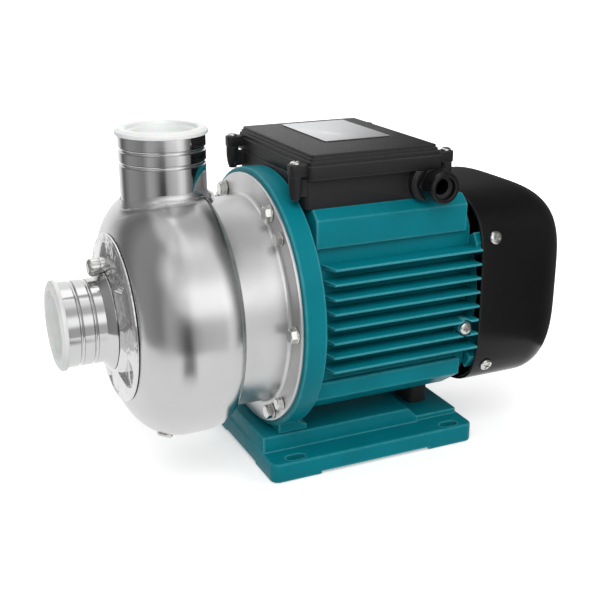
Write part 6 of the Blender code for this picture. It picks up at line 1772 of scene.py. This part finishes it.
@dataclass
class FanCover:
    """The moulded cover over the fan, with its grille and its four screws."""

    shop: Workshop
    start: float = 0.1695
    end: float = 0.2717
    half: float = 0.0840
    drop: float = 0.0020
    power: float = 4.0
    wall: float = 0.0025
    dome_axial: float = 0.0490
    dome_radial: float = 0.0587
    around: int = 128
    slots: int = 7
    slot_pitch: float = 0.0120
    slot_width: float = 0.0060
    slot_circle: float = 0.0500
    screw_x: float = 0.1820
    screw_heights: tuple[float, float] = (0.0500, -0.0610)

    def loop(self, bm: BMesh, x: float, half: float) -> list[bmesh.types.BMVert]:
        """Adds one section of the cover.

        Args:
            bm: The mesh.
            x: Place along the shaft.
            half: Half its size.

        Returns:
            Its vertices.
        """
        made = []
        for k in range(self.around):
            angle = 2 * math.pi * k / self.around
            c, s = math.cos(angle), math.sin(angle)
            y = half * math.copysign(abs(c) ** (2 / self.power), c)
            z = half * math.copysign(abs(s) ** (2 / self.power), s) - self.drop
            made.append(bm.verts.new((x, y, z)))
        return made

    def stations(self, inset: float) -> list[Point]:
        """Lists where the shell passes.

        Args:
            inset: How far inwards.

        Returns:
            (x, half size) from the open end to the dome.
        """
        half = self.half - inset
        bend = self.end - self.dome_axial
        made = [(bend, half)]
        for step in range(1, 21):
            angle = math.pi / 2 * step / 20
            x = bend + (self.dome_axial - inset) * math.sin(angle)
            made.append((x, half - self.dome_radial * (1 - math.cos(angle))))
        return made

    def shell(self) -> Object:
        """Shapes the shell.

        Returns:
            The shell, with a round open rim.
        """
        lip = self.wall / 2
        rim = arc((self.start + lip, self.half - lip), (lip, lip), 270, 90, 8)
        path = list(reversed(self.stations(self.wall))) + rim + self.stations(0.0)
        bm = bmesh.new()
        loops = [self.loop(bm, x, half) for x, half in path]
        for first, second in zip(loops, loops[1:]):
            bridge(bm, first, second)
        bm.faces.new(loops[0])
        bm.faces.new(loops[-1])
        bmesh.ops.recalc_face_normals(bm, faces=bm.faces)
        return as_object("cover_moulding", bm, SHAFT_LINE)

    def screw_spots(self) -> list[Spot]:
        """Finds the seats of the four screws.

        Returns:
            The seats and their outward directions, in the shaft frame.
        """
        spots = []
        for side in (-1, 1):
            for height in self.screw_heights:
                high = (height + self.drop) / self.half
                y = self.half * (1 - abs(high) ** self.power) ** (1 / self.power)
                out = Vector((0, side * (y / self.half) ** 3, math.copysign(abs(high) ** 3, high)))
                spots.append((Vector((self.screw_x, side * y, height)), out.normalized()))
        return spots

    def build(self) -> None:
        """Makes the cover with its slots and screws."""
        cover = self.shell()
        slots = []
        for k in range(self.slots):
            z = self.slot_pitch * (k - (self.slots - 1) / 2)
            length = 2 * math.sqrt(self.slot_circle ** 2 - z ** 2)
            corner = self.slot_width / 2 - 1e-5
            outline = rounded_box(length, self.slot_width, corner, (0.0, z - self.drop), 6)
            slots.append(extruded(outline, "X", self.end - 0.9 * self.dome_axial, self.end + 0.003))
        carve(cover, merged(slots), SHAFT_LINE)
        holes = [rod(0.0027, -0.0075, 0.0025, out, point, 20) for point, out in self.screw_spots()]
        carve(cover, merged(holes), SHAFT_LINE)
        self.shop.deliver(cover, Finish.GLOSSY_BLACK, ["fan_cover"], sharp=40.0)
        shape = PanScrew(0.0055, 0.0030, 0.0022, 0.0120).shape()
        spots = [(SHAFT_LINE @ point, out) for point, out in self.screw_spots()]
        self.shop.screws("cover_screws", shape, spots, numbered("cover_screw", 4), math.pi / 2, 5)


# Terminal box


@dataclass
class TerminalBox:
    """The moulded box on the motor, with its lid, screws, blank label and cable gland."""

    shop: Workshop
    start: float = 0.0206
    end: float = 0.1344
    half: float = 0.0660
    wall: float = 0.0030
    corner: float = 0.0040
    floor: float = 0.2205
    rim: float = 0.2433
    lid_half: float = 0.0730
    lid_bottom: float = 0.2436
    lid_steps: tuple[tuple[float, float], ...] = ((0.2480, 0.2574), (0.2550, 0.2597), (0.2580, 0.2620))
    lid_step: float = 0.2540
    lid_top: float = 0.2620
    step: float = 0.0015
    post: float = 0.0052
    post_x: tuple[float, float] = (0.0130, 0.1420)
    post_y: float = 0.0640
    post_foot: float = 0.2290
    ears: tuple[float, float] = (0.2470, 0.2556)
    gland_x: float = 0.1240
    gland_z: float = 0.2330
    boss: float = 0.0165
    boss_y: float = 0.0750

    @property
    def middle(self) -> float:
        """Returns the middle of the box along the shaft."""
        return (self.start + self.end) / 2

    def posts(self) -> list[Point]:
        """Returns the places of the four screw posts."""
        return [(x, side * self.post_y) for x in self.post_x for side in (-1, 1)]

    def post_holes(self, low: float, high: float) -> BMesh:
        """Returns the holes of the posts' screws, from one height to another."""
        return merged(rod(0.0023, low, high, UP, Vector((x, y, 0)), 20) for x, y in self.posts())

    def build(self) -> None:
        """Makes and dresses every piece."""
        self.body()
        self.lid()
        self.lid_screws()
        self.label()
        self.gland()

    def body(self) -> None:
        """The open box with its posts and the boss of the gland."""
        length = self.end - self.start
        outline = rounded_box(length, 2 * self.half, self.corner, (self.middle, 0.0), 6)
        body = as_object("box_moulding", extruded(outline, "Z", self.floor, self.rim), ORIGIN)
        round_edges(body, 0.0006, 2, 60.0)
        foot, top = self.post_foot, self.ears[0] - GAP
        for x, y in self.posts():
            sides = [(foot, 0.0), (foot, self.post * 0.62), (foot + 0.0045, self.post * 0.86)]
            sides += [(foot + 0.0100, self.post), (top, self.post), (top, 0.0)]
            carve(body, turned(sides, 40), Matrix.Translation((FRAME_SHIFT + x, y, 0)) @ UPWARD, Cut.ADD)
            inner = self.start + self.wall / 2 if x < self.middle else self.end - self.wall / 2
            centre = ((inner + x) / 2, y - math.copysign(0.4 * self.post, y))
            web = rounded_box(abs(inner - x), self.post, 0.0002, centre, 1)
            carve(body, extruded(web, "Z", foot + 0.0020, self.rim), ORIGIN, Cut.ADD)
        boss = [(self.half - 0.0015, 0.0), (self.half - 0.0015, self.boss), (self.boss_y - 0.0020, self.boss)]
        boss += [(self.boss_y, self.boss - 0.0020), (self.boss_y, 0.0)]
        block = as_object("boss", turned(boss, 64), self.gland_place())
        keep = rounded_box(0.08, 0.08, 0.001, (self.gland_x, -self.half), 1)
        carve(block, extruded(keep, "Z", self.floor, self.rim), ORIGIN, Cut.KEEP)
        combine(body, block)
        room = rounded_box(length - 2 * self.wall, 2 * (self.half - self.wall), 0.0025, (self.middle, 0.0), 4)
        carve(body, extruded(room, "Z", self.floor + self.wall, self.lid_top), ORIGIN)
        carve(body, rod(0.0105, 0.0540, 0.0780, NEAR, Vector((self.gland_x, 0, self.gland_z)), 48), ORIGIN)
        carve(body, wire_hole(self.floor - 0.003, self.floor + 0.006), ORIGIN)
        carve(body, self.post_holes(0.2320, 0.2570), ORIGIN)
        self.shop.deliver(body, Finish.MOULDED_BLACK, ["terminal_box"])

    def gland_place(self) -> Matrix:
        """Returns the place of the gland, whose +X leaves the box on the near side."""
        return Matrix.Translation((FRAME_SHIFT + self.gland_x, 0, self.gland_z)) @ NEARWARD

    def lid(self) -> None:
        """The stepped lid with its ears."""
        length = self.end - self.start
        low = rounded_box(length, 2 * self.lid_half, self.corner, (self.middle, 0.0), 6)
        lid = as_object("lid_moulding", extruded(low, "Z", self.lid_bottom, self.lid_step), ORIGIN)
        round_edges(lid, 0.0006, 2, 60.0)
        for k, (low_z, high_z) in enumerate(self.lid_steps):
            inset = self.step * (k + 1) * 0.8
            high = rounded_box(length - 2 * inset, 2 * (self.lid_half - inset), 0.0030, (self.middle, 0.0), 6)
            ledge = as_object("ledge", extruded(high, "Z", low_z, high_z), ORIGIN)
            round_edges(ledge, 0.0007, 3, 60.0)
            combine(lid, ledge)
        for x, y in self.posts():
            inner = self.start + 0.00125 if x < self.middle else self.end - 0.00125
            outer = x - self.post if x < self.middle else x + self.post
            ear = rounded_box(abs(inner - outer), 2 * self.post, 0.0030, ((inner + outer) / 2, y), 6)
            piece = as_object("ear", extruded(ear, "Z", *self.ears), ORIGIN)
            round_edges(piece, 0.0006, 2, 60.0)
            combine(lid, piece)
        room = rounded_box(length - 0.0080, 2 * (self.half - self.wall), 0.0025, (self.middle, 0.0), 4)
        carve(lid, extruded(room, "Z", self.floor, self.lid_top - 0.0025), ORIGIN)
        carve(lid, self.post_holes(self.post_foot, self.lid_top), ORIGIN)
        self.shop.deliver(lid, Finish.MOULDED_BLACK, ["terminal_box_lid"])

    def lid_screws(self) -> None:
        """The four screws of the lid."""
        shape = PanScrew(0.0040, 0.0022, 0.0018, 0.0220).shape()
        spots = [(row_point(x, y, self.ears[1]), UP) for x, y in self.posts()]
        self.shop.screws("lid_screws", shape, spots, numbered("lid_screw", 4), math.pi / 2, 11)

    def label(self) -> None:
        """The blank foil plate on the lid."""
        outline = rounded_box(0.0580, 0.0840, 0.0015, (0.0850, 0.0165), 5)
        low = self.lid_top + GAP
        plate = as_object("blank_plate", extruded(outline, "Z", low, low + 0.0006), ORIGIN)
        round_edges(plate, 0.00015, 2, 60.0)
        self.shop.deliver(plate, Finish.FOIL, ["label_plate"])

    def gland(self) -> None:
        """The gland's body with its hexagon, and its clamping nut."""
        place = self.gland_place()
        seat = self.boss_y + GAP
        hex_end = seat + 0.0045
        sleeve = hex_end + 0.0080
        inside = self.half - self.wall
        outline = [(inside, 0.0080), (inside, 0.0100), (seat, 0.0100), (seat, 0.0105)]
        outline += [(hex_end, 0.0105), (hex_end, 0.0096), (sleeve, 0.0096), (sleeve, 0.0080)]
        body = as_object("gland_sleeve", turned(outline, 64), place)
        flange = as_object("flats", extruded(hexagon(0.0240), "X", seat, hex_end), place)
        carve(flange, rod(0.0096, seat - 0.001, hex_end + 0.001, ALONG, Vector((0, 0, 0)), 64), place)
        round_edges(flange, 0.0003, 2, 40.0)
        combine(body, flange)
        self.shop.deliver(body, Finish.GLOSSY_BLACK, ["gland_body"])

        start = hex_end + GAP
        end = start + 0.0150
        bore = 0.0099
        outline = [(start, bore), (start, 0.0119), (start + 0.0006, 0.0125)]
        outline += arc((end - 0.0020, 0.0105), (0.0020, 0.0020), 90, 0, 10)
        outline += arc((end - 0.0010, 0.0096), (0.0010, 0.0010), 0, -90, 5)
        inner = sleeve + GAP
        outline += [(inner + 0.0022, 0.0086), (inner + 0.0022, bore)]
        nut = as_object("gland_cap", turned(outline, 72), place)
        self.shop.deliver(nut, Finish.GLOSSY_BLACK, ["gland_nut"])

        outline = [(inner, 0.0062), (inner, 0.0095), (inner + 0.0016, 0.0095), (inner + 0.0016, 0.0082)]
        outline += [(inner + 0.0008, 0.0066)]
        seal = as_object("gland_ring", turned(outline, 56), place)
        self.shop.deliver(seal, Finish.RUBBER, ["gland_seal"])


# Inside, studio and main


INNER_FINISH: dict[Finish, tuple[str, ...]] = {
    Finish.PRESSED_STEEL: ("seal_plate",),
    Finish.TURNED_STEEL: ("impeller", "seal_spring"),
    Finish.PLATED_SCREW: ("shaft", "fan_clip", "impeller_nut", "front_bearing_inner", "front_bearing_outer",
                          "rear_bearing_inner", "rear_bearing_outer", "foot_screw_1", "foot_screw_2"),
    Finish.CAST_PAINT: ("rear_end_shield",),
    Finish.MOULDED_BLACK: ("fan", "terminal_block"),
    Finish.MILKY_WHITE: ("capacitor",),
    Finish.RUBBER: ("casing_o_ring",),
    Finish.CERAMIC: ("seal_seat",),
    Finish.CARBON: ("seal_head",),
    Finish.COPPER: ("stator_winding",),
    Finish.LAMINATION: ("rotor_core", "stator_core"),
}


def dress_inside(nodes: dict[str, Object], palette: Palette) -> None:
    """Gives every CAD node that stays its own finish.

    Args:
        nodes: The nodes of the frame.
        palette: The finishes.
    """
    for finish, names in INNER_FINISH.items():
        for name in names:
            mesh = nodes[name].data
            mesh.materials.clear()
            mesh.materials.append(palette.of(finish))
            log.info("%s keeps its solid, finish %s", name, finish.value[0])


@dataclass
class Studio:
    """A pale floor, a white backdrop, soft lamps and the camera."""

    yaw: float = 24.69
    pitch: float = 19.317
    place: Triple = (-0.35072, -0.74140, 0.41114)
    lens: float = 61.8
    sensor: float = 36.0
    floor_half: float = 6.0
    floor_z: float = -0.0004
    glow_span: Point = (0.20, 0.75)
    near_glow: float = 0.40
    mirror_white: float = 0.88
    soft_light: float = 0.45
    card: Triple = (-109.0, 11.0, 0.90)
    card_span: Point = (0.17, 0.27)
    overhead_span: Point = (52.0, 68.0)
    overhead: float = 0.45
    screen_radius: float = 0.42
    screen_height: float = 0.90
    screen_place: Triple = (-0.11, 0.0, 0.13)
    target: Triple = (-0.02, 0.0, 0.13)
    boxes: tuple[tuple[float, ...], ...] = (
        (-90.0, 36.0, 23.0, 14.0, 0.85), (-150.0, 16.0, 40.0, 14.0, 0.3), (138.0, 24.0, -17.0, 9.0, 0.75))
    screen_tones: tuple[Point, ...] = (
        (-180, 0.34), (-170, 0.30), (-157, 0.27), (-143, 0.50), (-132, 0.44), (-123, 0.26), (-114, 0.08),
        (-106, 0.08), (-98, 0.44), (-88, 0.58), (-76, 0.68), (-64, 1.00), (-54, 0.85), (-46, 0.42),
        (-36, 0.20), (-22, 0.11), (20, 0.09), (34, 0.16), (48, 0.90), (62, 1.10), (92, 1.10), (112, 1.00),
        (122, 0.60), (130, 0.20), (138, 0.16), (148, 0.26), (160, 0.36), (180, 0.34))

    def build(self) -> None:
        """Makes the whole studio."""
        self.floor()
        self.screens()
        self.world()
        self.lamps()
        self.camera()

    def floor(self) -> None:
        """A wide pale floor that keeps the shadow."""
        bm = bmesh.new()
        bmesh.ops.create_grid(bm, x_segments=8, y_segments=8, size=self.floor_half)
        floor = as_object("studio_floor", bm, Matrix.Translation((0, 0, self.floor_z)))
        pale = Coat("pale_floor", (0.82, 0.82, 0.82), 0.9)
        far = pale.node("ShaderNodeVectorMath", {0: pale.vector}, operation="LENGTH").outputs["Value"]
        fade = pale.spread(far, self.glow_span, (self.near_glow, 1.0), interpolation_type="SMOOTHSTEP")
        glow = pale.node("ShaderNodeEmission", {"Strength": pale.math("MULTIPLY", pale.seen(), fade)})
        both = pale.node("ShaderNodeAddShader", {0: pale.shader.outputs[0], 1: glow.outputs[0]})
        white = pale.node("ShaderNodeEmission", {"Strength": pale.group(self.card_light())["Light"]})
        rays = pale.node("ShaderNodeLightPath").outputs
        mirrored = pale.math("MAXIMUM", rays["Is Glossy Ray"], rays["Is Transmission Ray"])
        share = pale.math("MULTIPLY", mirrored, self.mirror_white)
        pale.show(pale.node("ShaderNodeMixShader", {"Fac": share, 1: both.outputs[0], 2: white.outputs[0]}))
        floor.data.materials.append(pale.material)

    def screens(self) -> None:
        """Grey and white cloth screens round the set, which only polished surfaces show."""
        radius, top = self.screen_radius, self.screen_height
        outline = [(0.0, 0.0), (0.0, radius)]
        outline += arc((0.45 * top, 0.0), (0.55 * top, radius), 90, 0, 16)[:-1] + [(top, 0.0)]
        bm = turned(outline, 96)
        bottom = [face for face in bm.faces if all(abs(vert.co.x) < TINY for vert in face.verts)]
        bmesh.ops.delete(bm, geom=bottom, context="FACES")
        place = Matrix.Translation((self.screen_place[0], 0, 0)) @ UPWARD
        screens = as_object("studio_screens", bm, place)
        cloth = Coat("screen_cloth", (0.8, 0.8, 0.8), 0.5)
        cloth.show(cloth.node("ShaderNodeEmission", {"Strength": cloth.group(self.screen_light())["Light"]}))
        cloth.tree.nodes.remove(cloth.shader)
        screens.data.materials.append(cloth.material)
        for look in ("camera", "diffuse", "transmission", "shadow", "volume_scatter"):
            setattr(screens, f"visible_{look}", False)

    def bearing(self, group: NodeGroup) -> tuple[Socket, Socket, Socket]:
        """Tells where a place lies as seen from the pump.

        Args:
            group: The group, whose Vector is the place.

        Returns:
            Its direction in degrees, its distance over the floor and its height.
        """
        inputs = {0: group.given["Vector"], 1: self.screen_place}
        shift = group.node("ShaderNodeVectorMath", inputs, operation="SUBTRACT")
        x, y, z = group.node("ShaderNodeSeparateXYZ", {0: shift.outputs[0]}).outputs
        return group.math("DEGREES", group.math("ARCTAN2", y, x)), group.flat_length(x, y), z

    def screen_light(self) -> NodeTree:
        """Tells how bright the screens are, by their direction from the pump.

        Returns:
            The group.
        """
        group = NodeGroup("screen_light", {"Vector": ("Vector", (0, 0, 0))}, ["Light"])
        turn, flat, z = self.bearing(group)
        height = group.math("DEGREES", group.math("ARCTAN2", z, flat))
        share = group.math("ADD", group.math("DIVIDE", turn, 360.0), 0.5)
        ramp = group.node("ShaderNodeValToRGB", {"Fac": share})
        stops = ramp.color_ramp.elements
        while len(stops) > 1:
            stops.remove(stops[-1])
        for k, (angle, tone) in enumerate(self.screen_tones):
            stop = stops[0] if k == 0 else stops.new(angle / 360 + 0.5)
            stop.position = angle / 360 + 0.5
            stop.color = (tone, tone, tone, 1.0)
        levels = (0.0, self.overhead)
        total = group.spread(height, self.overhead_span, levels, interpolation_type="SMOOTHSTEP")
        total = group.math("ADD", total, ramp.outputs["Color"])
        for middle, half, level, reach, strength in self.boxes:
            away = group.math("ADD", group.beyond(turn, middle, half), group.beyond(height, level, reach))
            glow = group.math("EXPONENT", group.math("MULTIPLY", away, -1.0))
            total = group.math("ADD", total, group.math("MULTIPLY", glow, strength))
        group.feed(total, group.result["Light"])
        return group.tree

    def card_light(self) -> NodeTree:
        """Tells how bright the floor and the dark card on it are in a mirror.

        Returns:
            The group.
        """
        group = NodeGroup("card_light", {"Vector": ("Vector", (0, 0, 0))}, ["Light"])
        middle, half, strength = self.card
        turn, flat, _ = self.bearing(group)
        across = group.math("EXPONENT", group.math("MULTIPLY", group.beyond(turn, middle, half), -1.0))
        out = group.spread(flat, self.card_span, (0.0, strength), interpolation_type="SMOOTHSTEP")
        group.feed(group.math("SUBTRACT", 1.0, group.math("MULTIPLY", across, out)), group.result["Light"])
        return group.tree

    def world(self) -> None:
        """White where it is seen or mirrored, and a plain soft light elsewhere."""
        world = bpy.data.worlds.new("studio")
        world.use_nodes = True
        bpy.context.scene.world = world
        sky = NodeBuilder(world.node_tree)
        background = sky.tree.nodes["Background"].inputs
        sky.feed(sky.spread(sky.seen(), (0.0, 1.0), (self.soft_light, 1.0)), background["Strength"])
        sky.feed((1.0, 1.0, 1.0, 1.0), background["Color"])

    def lamps(self) -> None:
        """Three large soft lamps."""
        rows = (
            ("key_softbox", (-0.42, -0.86, 1.00), 0.8, 0.7, 9.0),
            ("side_softbox", (0.95, -0.65, 0.65), 0.6, 0.9, 5.0),
            ("back_softbox", (0.10, 0.90, 0.95), 1.2, 0.5, 6.0),
        )
        for name, place, width, height, power in rows:
            lamp = bpy.data.lights.new(name, "AREA")
            lamp.shape = "RECTANGLE"
            lamp.size, lamp.size_y, lamp.energy = width, height, power
            obj = in_scene(name, lamp)
            obj.location = place
            obj.rotation_euler = (Vector(self.target) - Vector(place)).to_track_quat("-Z", "Y").to_euler()

    def camera(self) -> None:
        """The camera at the photograph's angle."""
        yaw, pitch = math.radians(self.yaw), math.radians(self.pitch)
        forward = Vector((math.sin(yaw) * math.cos(pitch), math.cos(yaw) * math.cos(pitch), -math.sin(pitch)))
        right = Vector((math.cos(yaw), -math.sin(yaw), 0.0))
        up = right.cross(forward)
        turn = Matrix((right, up, -forward)).transposed().to_4x4()
        lens = bpy.data.cameras.new("camera")
        lens.lens, lens.sensor_width, lens.clip_start = self.lens, self.sensor, 0.01
        obj = in_scene("camera", lens)
        obj.matrix_world = Matrix.Translation(self.place) @ turn
        bpy.context.scene.camera = obj
        bpy.context.scene.view_settings.view_transform = "Standard"


def main() -> None:
    """Loads the frame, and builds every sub-assembly and the studio."""
    logging.basicConfig(level=logging.INFO, format="%(message)s")
    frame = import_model()
    shop = Workshop()
    for assembly in (WetEnd, FlangeScrews, MotorBracket, Foot, MotorHousing, FanCover, TerminalBox):
        log.info("building %s", assembly.__name__)
        assembly(shop).build()
    dress_inside(frame["nodes"], shop.palette)
    Studio().build()


if __name__ == "__main__":
    main()
